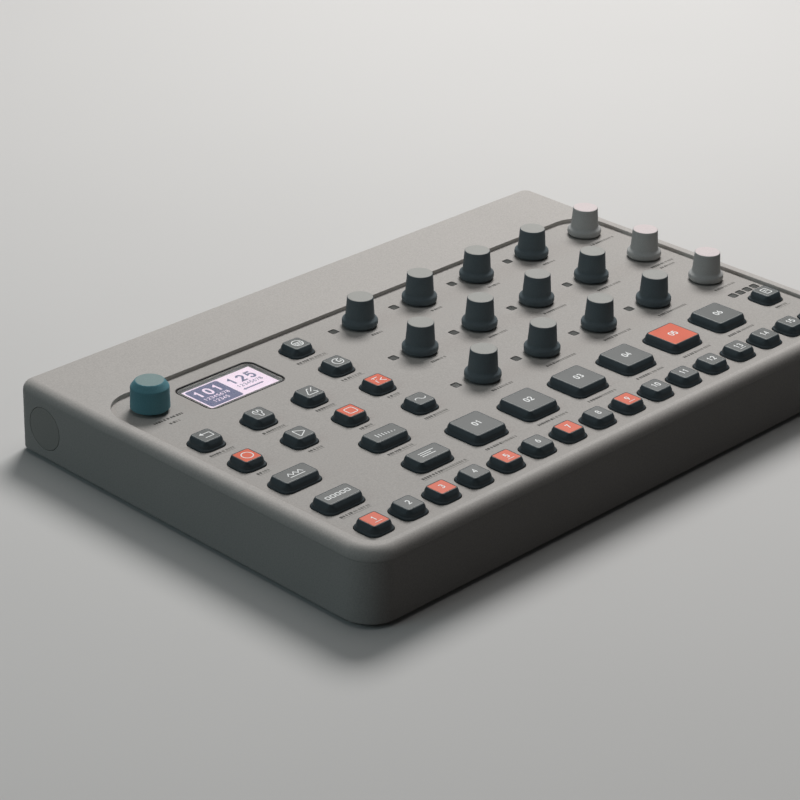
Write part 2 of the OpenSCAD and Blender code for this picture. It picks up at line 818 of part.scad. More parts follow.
module rear_connectors() {
    riser = socket_z - io_z - io_t;
    color([0.1, 0.3, 0.2])
        difference() {
            translate([io_x0, io_front_y, io_z])
                cube([io_x1 - io_x0, io_rear_y - io_front_y, io_t]);
            for (place = io_posts)
                translate([place[0], place[1], io_z - bite])
                    cylinder(h = io_t + 2 * bite, d = io_screw_d + 0.4, $fn = small_fn);
        }
    color([0.5, 0.5, 0.52])
        for (place = io_posts)
            translate([place[0], place[1], io_z + io_t + seat_gap])
                rotate([180, 0, 0])
                    screw(io_screw_d - 0.4, io_screw_d + 2, io_head_t, io_t + io_screw_bite);
    color([0.13, 0.13, 0.14]) {
        for (x = output_x)
            socket(x, output_body[0], output_body[1], output_bore_d, output_bore_l, output_body[1] - 1);
        for (x = concat([phones_x], midi_x))
            socket(x, mini_body[0], riser + mini_body[1] / 2, mini_bore_d, mini_bore_l, mini_body[1]);
        socket(dc_x, dc_body[0], riser + dc_body[0] / 2, dc_hole_d, 9, dc_body[0]);
        translate([dc_x, half_d - 1.5, socket_z])
            rotate([90, 0, 0])
                cylinder(h = 9, d = dc_pin_d, $fn = small_fn);
    }
    color([0.6, 0.6, 0.62])
        usb_socket(riser);
    color([0.3, 0.3, 0.32])
        power_housing();
}

// Rounded metal shell with a flat port, on a foot that stands on the board
module usb_socket(riser) {
    foot_d = 6;
    difference() {
        union() {
            translate([usb_x, half_d - nose_back, socket_z])
                rotate([90, 0, 0])
                    round_plate(usb_body[0], usb_body[1], usb_r, 0, usb_body[2]);
            translate([usb_x - usb_body[0] / 2, half_d - wall_t - body_gap - foot_d, io_z + io_t + seat_gap])
                cube([usb_body[0], foot_d, riser - seat_gap]);
        }
        translate([usb_x, half_d, socket_z])
            rotate([90, 0, 0])
                round_plate(usb_port[0], usb_port[1], usb_port_r, -bite, usb_body[2] - 1);
    }
}

// Body of the power switch, with a channel along X for the slider
module power_housing() {
    y1 = half_d - wall_t - body_gap;
    y0 = y1 - power_body[1];
    channel_w = power_tab[0] + power_travel + 2 * power_slot_gap;
    difference() {
        translate([power_x - power_body[0] / 2, y0, io_z + io_t + seat_gap])
            cube([power_body[0], power_body[1], socket_z + power_body[2] / 2 - io_z - io_t - seat_gap]);
        translate([power_x - channel_w / 2, y0 + 2, socket_z - power_tab[1] / 2 - power_slot_gap])
            cube([channel_w, power_body[1], power_tab[1] + 2 * power_slot_gap]);
    }
}

module power_switch() {
    y1 = half_d - wall_t - body_gap;
    foot_y0 = y1 - power_body[1] + 2.2;
    color([0.1, 0.1, 0.11])
        translate([power_x - power_travel / 2 - power_tab[0] / 2, foot_y0, socket_z - power_tab[1] / 2])
            difference() {
                cube([power_tab[0], half_d - nose_back - foot_y0, power_tab[1]]);
                for (i = [1:3])
                    translate([i * power_tab[0] / 4 - 0.2, half_d - nose_back - foot_y0 - 0.3, -bite])
                        cube([0.4, bite, power_tab[1] + 2 * bite]);
            }
}

// Key cap with its window, flange, stem and switch plunger, on the panel
module key(place, cap_color) {
    w = place[2];
    d = place[3];
    foot_w = w + 2 * cap_border;
    foot_d = d + 2 * cap_border;
    at_panel(place) {
        color(cap_color)
            difference() {
                union() {
                    cap_top(w, d, foot_w, foot_d);
                    round_plate(foot_w, foot_d, lip_r, flange_bottom, key_lip_h);
                    round_plate(foot_w + 2 * key_flange, foot_d + 2 * key_flange, lip_r,
                        flange_bottom, flange_top);
                    translate([-stem_s / 2, -stem_s / 2, plunger_top])
                        cube([stem_s, stem_s, flange_bottom - plunger_top + eps]);
                }
                round_plate(w + 2 * window_gap, d + 2 * window_gap, window_r, key_h - window_t, key_h + bite);
            }
        color([0.5, 0.51, 0.5])
            round_plate(w, d, window_r, key_h - window_t + seat_gap, key_h);
        color([0.8, 0.8, 0.8])
            translate([0, 0, plunger_foot])
                cylinder(h = plunger_top - seat_gap - plunger_foot, d = plunger_d, $fn = small_fn);
    }
}

// Upper part of a key cap: steep skirt, then a sloped shoulder up to the brim round the window
module cap_top(w, d, foot_w, foot_d) {
    brim_z = key_h - window_rise;
    hull() {
        cap_ring(foot_w - 2 * skirt_in, foot_d - 2 * skirt_in, lip_r - skirt_in, key_lip_h);
        cap_ring(foot_w - 2 * shoulder_in, foot_d - 2 * shoulder_in, lip_r - shoulder_in,
            brim_z - shoulder_drop);
        cap_ring(w + 2 * brim_w, d + 2 * brim_w, brim_r, brim_z);
    }
}

module cap_ring(w, d, r, z) {
    for (x = [-1, 1], y = [-1, 1])
        translate([x * (w / 2 - r), y * (d / 2 - r), z - eps])
            cylinder(h = eps, r = r, $fn = hull_fn);
}

module trig_key(i) {
    key(trig_key_place(i - 1), key_color);
}

module pad(i) {
    key(pad_place(i - 1), key_color);
}

module function_key(entry) {
    key(function_key_place(entry), key_color);
}

// D-shaft from the encoder up into the knob
module shaft(top) {
    color([0.7, 0.7, 0.72])
        difference() {
            translate([0, 0, shaft_foot])
                cylinder(h = top - shaft_foot, d = shaft_d);
            translate([-shaft_d, shaft_d / 2 - shaft_flat, relief_top + 0.2])
                cube([2 * shaft_d, shaft_d, top]);
        }
}

module knob_bore(top) {
    translate([0, 0, -bite])
        cylinder(h = relief_top + bite, d = relief_d);
    difference() {
        cylinder(h = top + 0.05, d = shaft_d + 2 * bore_slip);
        translate([-shaft_d, shaft_d / 2 - shaft_flat + bore_slip, relief_top + 0.3])
            cube([2 * shaft_d, shaft_d, top]);
    }
}

// Knob with a slightly tapered body that flares out into a rounded skirt
module knob(place, knob_color) {
    skirt_r = knob_skirt_d / 2;
    body_r = knob_body_d / 2;
    top_r = knob_top_d / 2;
    foot_round = 0.9;
    flare = min(1.2, skirt_r - body_r - 0.05);
    skirt_top = knob_gap + 3;
    edge = 0.35;
    at_panel(place) {
        color(knob_color)
            difference() {
                rotate_extrude()
                    polygon(concat(
                        [[0, knob_gap], [skirt_r - 0.6, knob_gap]],
                        arc(skirt_r - foot_round, knob_gap + 1, foot_round, -50, 0, 4),
                        arc(skirt_r - flare, skirt_top - flare, flare, 0, 65),
                        [[body_r + 0.07, skirt_top + 0.45], [body_r, skirt_top + 0.7]],
                        arc(top_r - edge, knob_h - edge, edge, 0, 90, 3),
                        [[0, knob_h]]));
                knob_bore(shaft_top);
            }
        shaft(shaft_top);
    }
}

// Larger knob with nearly straight sides and a wide chamfer at the top
module data_knob() {
    r = data_knob_d / 2;
    at_panel(data_place) {
        color([0.2, 0.33, 0.36])
            difference() {
                rotate_extrude()
                    polygon(concat(
                        [[0, data_knob_gap], [r - 0.4, data_knob_gap], [r, data_knob_gap + 0.4]],
                        arc(r - 1.1, data_knob_h - 2.6, 0.9, 5, 40, 4),
                        [[r - 1.85, data_knob_h - 0.15], [r - 2.1, data_knob_h], [0, data_knob_h]]));
                knob_bore(shaft_top);
            }
        shaft(shaft_top);
    }
}

top_case();
bottom_case();
case_hardware();
circuit_board();
display();
rear_connectors();
power_switch();
data_knob();
for (row = [0:knob_rows - 1], col = [0:knob_cols - 2])
    knob(knob_place(row, col), [0.16, 0.19, 0.2]);
for (row = [0:knob_rows - 1])
    knob(knob_place(row, knob_cols - 1), [0.43, 0.45, 0.45]);
for (i = [1:trig_count])
    trig_key(i);
for (i = [1:pad_count])
    pad(i);
for (entry = function_keys)
    function_key(entry);
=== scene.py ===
import json
import math
import random

import bpy
import numpy as np
from mathutils import Matrix, Vector


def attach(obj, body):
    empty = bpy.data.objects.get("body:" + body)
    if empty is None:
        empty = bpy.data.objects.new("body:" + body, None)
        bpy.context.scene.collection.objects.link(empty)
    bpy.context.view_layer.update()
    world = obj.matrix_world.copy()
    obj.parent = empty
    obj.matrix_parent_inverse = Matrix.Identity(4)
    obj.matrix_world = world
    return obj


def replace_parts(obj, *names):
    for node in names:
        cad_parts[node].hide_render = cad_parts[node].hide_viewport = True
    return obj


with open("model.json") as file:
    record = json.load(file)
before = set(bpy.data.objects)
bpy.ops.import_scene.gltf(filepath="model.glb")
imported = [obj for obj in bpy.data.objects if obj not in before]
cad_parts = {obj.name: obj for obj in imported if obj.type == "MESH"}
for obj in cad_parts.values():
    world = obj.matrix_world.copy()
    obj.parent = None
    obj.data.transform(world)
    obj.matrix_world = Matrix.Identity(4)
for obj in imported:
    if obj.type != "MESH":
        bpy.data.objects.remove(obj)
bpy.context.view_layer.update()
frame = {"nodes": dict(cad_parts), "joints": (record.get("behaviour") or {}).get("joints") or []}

# A drum machine. The case, base, boards, sockets and knobs are the CAD's own meshes with materials. The keys
# and the display are made here in the place of theirs, and so are the panel's border, lights and print.
# All sizes are in millimetres, unless a comment says otherwise.
MM = 0.001
TRIGS = ["trig_key_%d" % i for i in range(1, 17)]
PADS = ["pad_%d" % i for i in range(1, 7)]
KNOBS = ["control_knob_%d" % i for i in range(1, 13)]
SIDE_KNOBS = ["side_knob_%d" % i for i in range(1, 4)]


def extent(points):
    """Lowest and highest corner of some points."""
    points = list(points)
    return [Vector([pick(p[k] for p in points) for k in range(3)]) for pick in (min, max)]


def middle(low, high):
    """Middle of a box, seen from above."""
    return (low.x + high.x) / 2, (low.y + high.y) / 2


def trimmed(low, high, trim):
    """Width and depth of a box, less trim on each side."""
    return high.x - low.x - 2 * trim, high.y - low.y - 2 * trim


# The panel's own frame: millimetres on its sloped face from the middle of the first step key,
# h upwards from the face. The data knob's joint stands square on the face, so it gives the slope.
KNOB_JOINT = next(j for j in frame["joints"] if j["child"] == "data_knob")
UP = Vector(KNOB_JOINT["axis"])
TILT = Matrix.Rotation(-math.atan2(UP.y, UP.z), 4, "X")
LEVEL = TILT.inverted()
first_key = middle(*extent(LEVEL @ v.co for v in frame["nodes"][TRIGS[0]].data.vertices))
face_height = (LEVEL @ Vector(KNOB_JOINT["pos_m"])).z
PANEL = Matrix.Translation(TILT @ Vector((*first_key, face_height))) @ TILT @ Matrix.Scale(MM, 4)
TO_PANEL = PANEL.inverted()


def panel_box(node):
    """Lowest and highest corner of a CAD node in the panel's frame."""
    return extent(TO_PANEL @ v.co for v in frame["nodes"][node].data.vertices)


def centre(node):
    """Middle of a CAD node on the panel."""
    return middle(*panel_box(node))


# ---------------------------------------------------------------- materials

# Cosines of the turn along an edge, where its lightening begins and where it is full: wear, and a painted
# highlight
WEAR_AND_HIGHLIGHT_BEGINS = 0.995
WEAR_AND_HIGHLIGHT_FULL = 0.85


def srgb(r, g, b):
    """An sRGB colour in 0..255 as linear RGBA."""
    line = [c / 255 / 12.92 if c <= 10 else ((c / 255 + 0.055) / 1.055) ** 2.4 for c in (r, g, b)]
    return (*line, 1)


def shaded(colour, factor, lift=0.0):
    """A colour made darker or lighter by a factor, and lifted by a constant."""
    return tuple(min(1, c * factor + lift) for c in colour[:3]) + (1,)


class Nodes:
    """The node tree of a material or a world, with a short way to add and link nodes."""

    def __init__(self, owner, main):
        owner.use_nodes = True
        self.owner = owner
        self.tree = owner.node_tree
        self.main = self.tree.nodes[main]

    def add(self, kind, settings=None, **inputs):
        """Adds a node. Inputs are given by name, or by number as i0, i1 and so on."""
        node = self.tree.nodes.new(kind)
        for key, value in (settings or {}).items():
            setattr(node, key, value)
        for key, value in inputs.items():
            numbered = key[0] == "i" and key[1:].isdigit()
            self.put(node.inputs[int(key[1:]) if numbered else key], value)
        return node

    def put(self, socket, value):
        """Links a socket, or sets its value."""
        if isinstance(value, bpy.types.NodeSocket):
            self.tree.links.new(value, socket)
        else:
            socket.default_value = value

    def set(self, **values):
        """Sets or links the main node's sockets; _ stands for a space."""
        for key, value in values.items():
            self.put(self.main.inputs[key.replace("_", " ")], value)

    def noise(self, scale, detail=2.0, rough=0.5):
        """A noise that is fixed to the piece."""
        where = self.add("ShaderNodeTexCoord").outputs["Object"]
        node = self.add("ShaderNodeTexNoise", Vector=where, Scale=scale, Detail=detail, Roughness=rough)
        return node.outputs["Fac"]

    def ramp(self, value, low, high, a, b):
        """Maps low..high to a..b."""
        return self.add("ShaderNodeMapRange", Value=value, i1=low, i2=high, i3=a, i4=b).outputs[0]

    def spread(self, noise, a=0, b=1):
        """Maps the usual range of a noise to a..b."""
        return self.ramp(noise, 0.3, 0.7, a, b)

    def mix(self, factor, a, b, blend="MIX"):
        """Blends two colours."""
        settings = dict(data_type="RGBA", blend_type=blend)
        return self.add("ShaderNodeMix", settings, i0=factor, i6=a, i7=b).outputs[2]

    def largest(self, first, *others):
        """The largest of some numbers."""
        for other in others:
            first = self.add("ShaderNodeMath", dict(operation="MAXIMUM"), i0=first, i1=other).outputs[0]
        return first


def surface(name):
    """The nodes of a new material."""
    return Nodes(bpy.data.materials.new(name), "Principled BSDF")


def plastic(name, colour, shade=0.05, grain=4200, speck=0.14, depth=0.00002, mottle=60,
            rough=(0.5, 0.62), specular=0.3, edge=0.0003, wear_and_highlight=0.0, sheen=0.0, glow=None, glow_power=0.0):
    """Moulded plastic: a spark-eroded grain, slight mottling, and softly rounded edges, made lighter by wear
    and by a painted highlight.
    The depth of the grain and the radius of the edges are in metres."""
    m = surface(name)
    wide = m.noise(mottle, detail=4, rough=0.6)
    fine = m.noise(grain, detail=3, rough=0.7)
    mixed = m.mix(m.spread(wide), shaded(colour, 1 - shade), shaded(colour, 1 + shade))
    light = m.ramp(fine, 0.3, 0.65, 1 - speck, 1 + speck * 0.6)
    grey = m.add("ShaderNodeCombineColor", i0=light, i1=light, i2=light).outputs[0]
    mixed = m.mix(1.0, mixed, grey, "MULTIPLY")
    bevel = m.add("ShaderNodeBevel", dict(samples=6), Radius=edge).outputs[0]
    if wear_and_highlight:
        # The rounded normal turns away from the face's own along the edges.
        straight = m.add("ShaderNodeNewGeometry").outputs["Normal"]
        turn = m.add("ShaderNodeVectorMath", dict(operation="DOT_PRODUCT"), i0=bevel, i1=straight)
        worn_and_highlit = m.ramp(turn.outputs["Value"], WEAR_AND_HIGHLIGHT_BEGINS, WEAR_AND_HIGHLIGHT_FULL, 0, wear_and_highlight)
        # Lighter edges: wear, and a painted highlight where the edges catch the light.
        mixed = m.mix(worn_and_highlit, mixed, shaded(colour, 1.6, 0.02))
    bump = m.add("ShaderNodeBump", Strength=0.5, Distance=depth, Height=fine, Normal=bevel).outputs[0]
    m.set(Base_Color=mixed, Roughness=m.spread(wide, *rough), Specular_IOR_Level=specular, Normal=bump)
    if sheen:
        m.set(Sheen_Weight=sheen, Sheen_Roughness=0.5)
    if glow:
        m.set(Emission_Color=glow, Emission_Strength=glow_power)
    return m.owner


def metal(name, colour):
    """Plated metal with faint scratches and an uneven polish."""
    m = surface(name)
    wide = m.noise(160, detail=5, rough=0.65)
    tint = m.mix(m.spread(wide), shaded(colour, 0.8), colour)
    bump = m.add("ShaderNodeBump", Strength=0.3, Distance=0.00001, Height=m.noise(3600)).outputs[0]
    m.set(Metallic=1.0, Base_Color=tint, Roughness=m.spread(wide, 0.22, 0.38), Normal=bump)
    return m.owner


def screen_light(name, colour, power):
    """A light of the screen: an even glow with a faint grid of picture cells."""
    m = surface(name)
    where = m.add("ShaderNodeTexCoord").outputs["Object"]
    cells = m.add("ShaderNodeTexBrick", dict(offset=0.0), Vector=where, Scale=3900.0, Color1=(1, 1, 1, 1),
                  Color2=(0.97, 0.97, 0.97, 1), Mortar=(0.88, 0.88, 0.88, 1))
    for key, value in {"Mortar Size": 0.03, "Brick Width": 1.0, "Row Height": 1.0}.items():
        m.put(cells.inputs[key], value)
    m.set(Base_Color=shaded(colour, 0.15), Roughness=0.35, Emission_Strength=power,
          Emission_Color=m.mix(1.0, colour, cells.outputs["Color"], "MULTIPLY"))
    return m.owner


def clear_plastic(name):
    """The display's polished window, with faint smears in its gloss."""
    m = surface(name)
    m.set(Base_Color=(0.97, 0.98, 0.98, 1), Transmission_Weight=1.0, IOR=1.49,
          Roughness=m.ramp(m.noise(220, detail=4), 0.4, 0.7, 0.02, 0.07))
    return m.owner


CASE_LOOK = dict(shade=0.025, grain=1700, speck=0.13, depth=0.00005, mottle=28, rough=(0.6, 0.7),
                 specular=0.22)
WINDOW_LOOK = dict(speck=0.06, depth=0.00001, mottle=140, rough=(0.38, 0.46), edge=0.0001)
RIM_LOOK = dict(shade=0.03, speck=0.04, depth=0.00001, mottle=140, rough=(0.4, 0.5), specular=0.25,
                edge=0.00003)
INK_LOOK = dict(mottle=400, rough=(0.55, 0.65), specular=0.15, edge=0.00003)
KNOB_LOOK = dict(grain=3400, mottle=90, rough=(0.6, 0.72), specular=0.18, sheen=0.04)

CASE = plastic("case_plastic", srgb(182, 179, 175), edge=0.0003, wear_and_highlight=0.14, **CASE_LOOK)
# The panel's face is a touch darker than the rest of the case.
FACE = plastic("panel_face_darker_plastic", srgb(172, 169, 165), edge=0.0002, wear_and_highlight=0.08, **CASE_LOOK)
BASE = plastic("base_plastic", srgb(70, 72, 74), rough=(0.55, 0.68), specular=0.25, wear_and_highlight=0.1)
PLUG = plastic("plug_plastic", srgb(170, 167, 162), shade=0.03, grain=1700, speck=0.1, rough=(0.6, 0.7),
               specular=0.22)
RUBBER = plastic("foot_rubber", srgb(30, 31, 33), shade=0.12, grain=2600, rough=(0.7, 0.85), specular=0.2)
CAP = plastic("key_plastic", srgb(60, 70, 75), grain=3600, rough=(0.44, 0.54), specular=0.3, edge=0.0002,
              wear_and_highlight=0.06)
WINDOW = plastic("window_plastic", srgb(109, 112, 111), shade=0.03, specular=0.25, **WINDOW_LOOK)
# The windows' rims are painted lighter than the windows: a painted highlight along their edges. On lit keys
# the rim also glows with the key's light.
PANE_EDGE_HIGHLIGHT = plastic("pane_edge_painted_highlight", srgb(176, 180, 178), **RIM_LOOK)
LIT = plastic("lit_window_plastic", srgb(203, 93, 64), shade=0.04, specular=0.3, glow=srgb(255, 90, 56),
              glow_power=0.12, **WINDOW_LOOK)
LIT_PANE_EDGE_HIGHLIGHT = plastic("lit_pane_edge_painted_highlight", srgb(222, 136, 110), glow=srgb(255, 120, 90), glow_power=0.08, **RIM_LOOK)
# The white print also glows faintly: painted light that keeps it bright.
LEGEND = plastic("legend_print_painted_glow", srgb(226, 229, 228), shade=0.02, speck=0.03, mottle=300, specular=0.2,
                 edge=0.00003, glow=srgb(255, 255, 255), glow_power=0.1)
PRINT = plastic("panel_print_ink", srgb(84, 83, 80), **INK_LOOK)
PALE_PRINT = plastic("panel_pale_ink", srgb(128, 126, 122), **INK_LOOK)
KNOB = plastic("dark_knob_rubber", srgb(92, 103, 108), wear_and_highlight=0.1, **KNOB_LOOK)
# The knobs' flat tops are painted lighter than their sides: a painted reflection of the light above.
PAINTED_KNOB_TOP = plastic("dark_knob_top_painted_reflection", srgb(164, 165, 161), shade=0.03, grain=3400, mottle=120,
                   rough=(0.55, 0.65), specular=0.25)
SIDE_KNOB = plastic("grey_knob_rubber", srgb(176, 178, 177), shade=0.03, wear_and_highlight=0.05, **KNOB_LOOK)
PAINTED_SIDE_TOP = plastic("grey_knob_top_painted_reflection", srgb(216, 206, 206), shade=0.02, grain=3400, mottle=120,
                   rough=(0.55, 0.65), specular=0.25)
DATA_BODY = plastic("teal_knob_body", srgb(92, 144, 156), grain=3400, mottle=90, rough=(0.58, 0.7),
                    specular=0.2, wear_and_highlight=0.04, sheen=0.04)
PAINTED_DATA_TOP = plastic("teal_knob_top_painted_reflection", srgb(130, 152, 152), shade=0.03, grain=3400, mottle=90,
                   rough=(0.56, 0.68), specular=0.22)
LIGHT_PIPE = plastic("light_pipe", srgb(66, 69, 66), shade=0.1, grain=2500, rough=(0.25, 0.35), specular=0.4)
LAMINATE = plastic("board_laminate", srgb(38, 92, 62), shade=0.12, grain=1800, mottle=70, rough=(0.35, 0.5),
                   specular=0.45)
BLACK = plastic("black_moulding", srgb(34, 34, 36), shade=0.1, rough=(0.42, 0.56), specular=0.35, wear_and_highlight=0.1)
FRAME = plastic("display_frame", srgb(92, 96, 93), shade=0.08, grain=1500, mottle=200, specular=0.3)
# Near black: the light pipes' bodies, and the display window's rim, where it is painted shade of the gap
# round the window.
MASK_AND_GAP_SHADE = plastic("dark_mask_and_gap_shade", srgb(12, 12, 14), shade=0.1, rough=(0.45, 0.55), specular=0.2)
STEEL = metal("plated_steel", srgb(190, 190, 192))
BRASS = metal("bushing_brass", srgb(196, 176, 128))
LENS = clear_plastic("window_lens")
PINK = screen_light("screen_pink", srgb(250, 228, 244), 0.97)
VIOLET = screen_light("screen_violet", srgb(88, 94, 138), 0.74)


# ---------------------------------------------------------------- meshes

# Edges that turn by less than these degrees look smooth: on flat pieces, on CAD nodes, as a rule, on knobs,
# and on keys and the display's window.
FLAT_LIMIT = 30
CAD_LIMIT = 34
LIMIT = 38
KNOB_LIMIT = 40
ROUND_LIMIT = 50
# Vertices nearer to each other than this are one place, in metres.
WELD = 2e-6
TINY = 1e-20


def welded(mesh):
    """A number for each vertex, the same for vertices at the same place."""
    points = np.array([v.co for v in mesh.vertices]).reshape(-1, 3)
    _, place = np.unique(np.round(points / WELD).astype(np.int64), axis=0, return_inverse=True)
    return place.reshape(-1)


def soften(mesh, limit):
    """Area-weighted corner normals, smooth across edges that turn by less than the limit."""
    count = len(mesh.polygons)
    normals = np.zeros(count * 3)
    areas = np.zeros(count)
    totals = np.zeros(count, np.int64)
    corners = np.zeros(len(mesh.loops), np.int64)
    mesh.polygons.foreach_get("normal", normals)
    mesh.polygons.foreach_get("area", areas)
    mesh.polygons.foreach_get("loop_total", totals)
    mesh.loops.foreach_get("vertex_index", corners)
    normals = normals.reshape(-1, 3)
    faces = np.repeat(np.arange(count), totals)
    place = welded(mesh)[corners]
    order = np.argsort(place, kind="stable")
    least = math.cos(math.radians(limit))
    weighted = normals * areas[:, None]
    result = np.zeros((len(corners), 3))
    for group in np.split(order, np.flatnonzero(np.diff(place[order])) + 1):
        own = faces[group]
        near = (normals[own] @ normals[own].T) >= least
        total = near @ weighted[own]
        size = np.linalg.norm(total, axis=1, keepdims=True)
        result[group] = np.where(size > TINY, total / np.maximum(size, TINY), normals[own])
    mesh.polygons.foreach_set("use_smooth", np.ones(count, bool))
    mesh.normals_split_custom_set([tuple(n) for n in result])


def give_materials(mesh, kinds):
    """Gives each face of a mesh its material, in place of the mesh's own."""
    materials = list(dict.fromkeys(kinds))
    mesh.materials.clear()
    for material in materials:
        mesh.materials.append(material)
    mesh.polygons.foreach_set("material_index", [materials.index(kind) for kind in kinds])


def bands(n, pairs):
    """Faces between rings of n points, for each pair of ring numbers."""
    return [[a * n + i, a * n + (i + 1) % n, b * n + (i + 1) % n, b * n + i]
            for a, b in pairs for i in range(n)]


class Shape:
    """Faces of one piece in the panel's frame, each with its material."""

    def __init__(self):
        self.points = []
        self.faces = []
        self.kinds = []

    def add(self, points, faces, kind):
        """Adds faces, numbered within their own points."""
        base = len(self.points)
        self.points += [tuple(p) for p in points]
        self.faces += [[base + i for i in face] for face in faces]
        self.kinds += [kind] * len(faces)

    def loft(self, rings, kind, closed_above=True):
        """A skin over rings of equal length, closed below, and above if asked."""
        n = len(rings[0])
        last = len(rings) - 1
        faces = bands(n, [(k, k + 1) for k in range(last)])
        faces.append(list(range(n))[::-1])
        if closed_above:
            faces.append([last * n + i for i in range(n)])
        self.add([p for level in rings for p in level], faces, kind)

    def tube(self, rings, kind):
        """A skin over rings of equal length, closed from the last to the first."""
        count = len(rings)
        faces = bands(len(rings[0]), [(k, (k + 1) % count) for k in range(count)])
        self.add([p for level in rings for p in level], faces, kind)

    def strip(self, line, width, low, high, kind, closed=False):
        """A flat stroke along a line of (x, y) points, with square ends and mitred corners."""
        points = [Vector(p) for p in line]
        n = len(points)
        left = []
        right = []
        for i, p in enumerate(points):
            before = points[i] - points[i - 1] if closed or i else points[1] - points[0]
            after = points[(i + 1) % n] - points[i] if closed or i < n - 1 else points[-1] - points[-2]
            a = before.normalized()
            both = a + after.normalized()
            bisector = both.normalized() if both.length > 1e-6 else a
            side = Vector((-bisector.y, bisector.x))
            # At a sharp corner the mitre reaches no further than the stroke's width.
            reach = width / 2 / max(0.5, side.dot(Vector((-a.y, a.x))))
            left.append(p + side * reach)
            right.append(p - side * reach)
        tops = [(*p, high) for p in left + right]
        base = [(*p, low) for p in left + right]
        faces = []
        for i in range(n if closed else n - 1):
            j = (i + 1) % n
            faces.append([n + i, n + j, j, i])
            faces.append([i, j, 2 * n + j, 2 * n + i])
            faces.append([3 * n + i, 3 * n + j, n + j, n + i])
        if not closed:
            faces += [[n, 0, 2 * n, 3 * n], [n - 1, 2 * n - 1, 4 * n - 1, 3 * n - 1]]
        self.add(tops + base, faces, kind)

    def plate(self, outline, low, high, kind):
        """A flat plate with that outline, counter-clockwise."""
        self.loft([[(x, y, low) for x, y in outline], [(x, y, high) for x, y in outline]], kind)

    def build(self, name, body, limit=LIMIT):
        """Makes the piece, which moves with the given body."""
        mesh = bpy.data.meshes.new(name)
        mesh.from_pydata([PANEL @ Vector(p) for p in self.points], [], self.faces)
        give_materials(mesh, self.kinds)
        mesh.update()
        soften(mesh, limit)
        piece = bpy.data.objects.new(name, mesh)
        bpy.context.scene.collection.objects.link(piece)
        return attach(piece, body)


def rounded(w, d, r, x=0.0, y=0.0, n=6):
    """A rectangle with round corners, counter-clockwise."""
    r = min(r, w / 2, d / 2)
    out = []
    for k, (sx, sy) in enumerate(((1, 1), (-1, 1), (-1, -1), (1, -1))):
        for i in range(n + 1):
            a = math.pi / 2 * (k + i / n)
            out.append((x + sx * (w / 2 - r) + r * math.cos(a), y + sy * (d / 2 - r) + r * math.sin(a)))
    return out


def ring(place, size, grow, r, h):
    """A rounded rectangle at height h, larger than size by grow on each side."""
    return [(x, y, h) for x, y in rounded(size[0] + 2 * grow, size[1] + 2 * grow, r, *place)]


def bow(cx, cy, rx, ry, a0, a1, n):
    """Points on an arc, angles in degrees."""
    return [(cx + rx * math.cos(math.radians(a0 + (a1 - a0) * i / n)),
             cy + ry * math.sin(math.radians(a0 + (a1 - a0) * i / n))) for i in range(n + 1)]


def circle(cx, cy, rx, ry=None, n=26):
    """Points on a circle or an ellipse."""
    return bow(cx, cy, rx, ry or rx, 0, 360, n)[:-1]


def moved(line, place):
    """The points of a line, moved by a place."""
    return [(place[0] + x, place[1] + y) for x, y in line]


# ---------------------------------------------------------------- legends

# Width of a digit as a part of its height, and its strokes (closed, points) in a box 1 wide and 1 high,
# centred on the origin.
DIGIT_WIDTH = 0.58
DIGITS = {
    "0": [(True, bow(0, 0.15, 0.46, 0.35, 0, 180, 9) + bow(0, -0.15, 0.46, 0.35, 180, 360, 9))],
    "1": [(False, [(-0.34, 0.26), (0.05, 0.5), (0.05, -0.5)])],
    "2": [(False, bow(0, 0.2, 0.44, 0.3, 165, -25, 9) + [(-0.44, -0.5), (0.5, -0.5)])],
    "3": [(False, bow(-0.02, 0.25, 0.42, 0.25, 150, -90, 9) + [(-0.16, 0.0)]),
          (False, [(-0.16, 0.0)] + bow(-0.02, -0.25, 0.48, 0.25, 90, -150, 9))],
    "4": [(False, [(0.22, -0.5), (0.22, 0.5), (-0.5, -0.2), (0.52, -0.2)])],
    "5": [(False, [(0.42, 0.5), (-0.36, 0.5), (-0.42, 0.05)] + bow(-0.02, -0.17, 0.48, 0.33, 115, -150, 11))],
    "6": [(True, circle(0, -0.18, 0.46, 0.32, 16)), (False, [(0.24, 0.5), (-0.12, 0.3), (-0.42, -0.06)])],
    "7": [(False, [(-0.48, 0.5), (0.46, 0.5), (-0.12, -0.5)])],
    "8": [(True, circle(0, 0.25, 0.38, 0.25, 14)), (True, circle(0, -0.24, 0.46, 0.27, 14))],
    "9": [(True, circle(0, 0.18, 0.46, 0.32, 16)), (False, [(-0.24, -0.5), (0.12, -0.3), (0.42, 0.06)])],
}


def digits(text, height, x, y, step=0.82):
    """Strokes of a plain number round (x, y). The step from digit to digit is a part of their height."""
    strokes = []
    for k, mark in enumerate(text):
        cx = x + (k - (len(text) - 1) / 2) * height * step
        for closed, line in DIGITS[mark]:
            strokes.append((closed, [(cx + px * height * DIGIT_WIDTH, y + py * height) for px, py in line]))
    return strokes


def bars(lengths, x0, pitch):
    """Upright bars of the given lengths, standing on one line."""
    foot = -max(lengths) / 2
    return [(False, [(x0 + pitch * k, foot), (x0 + pitch * k, foot + tall)])
            for k, tall in enumerate(lengths)]


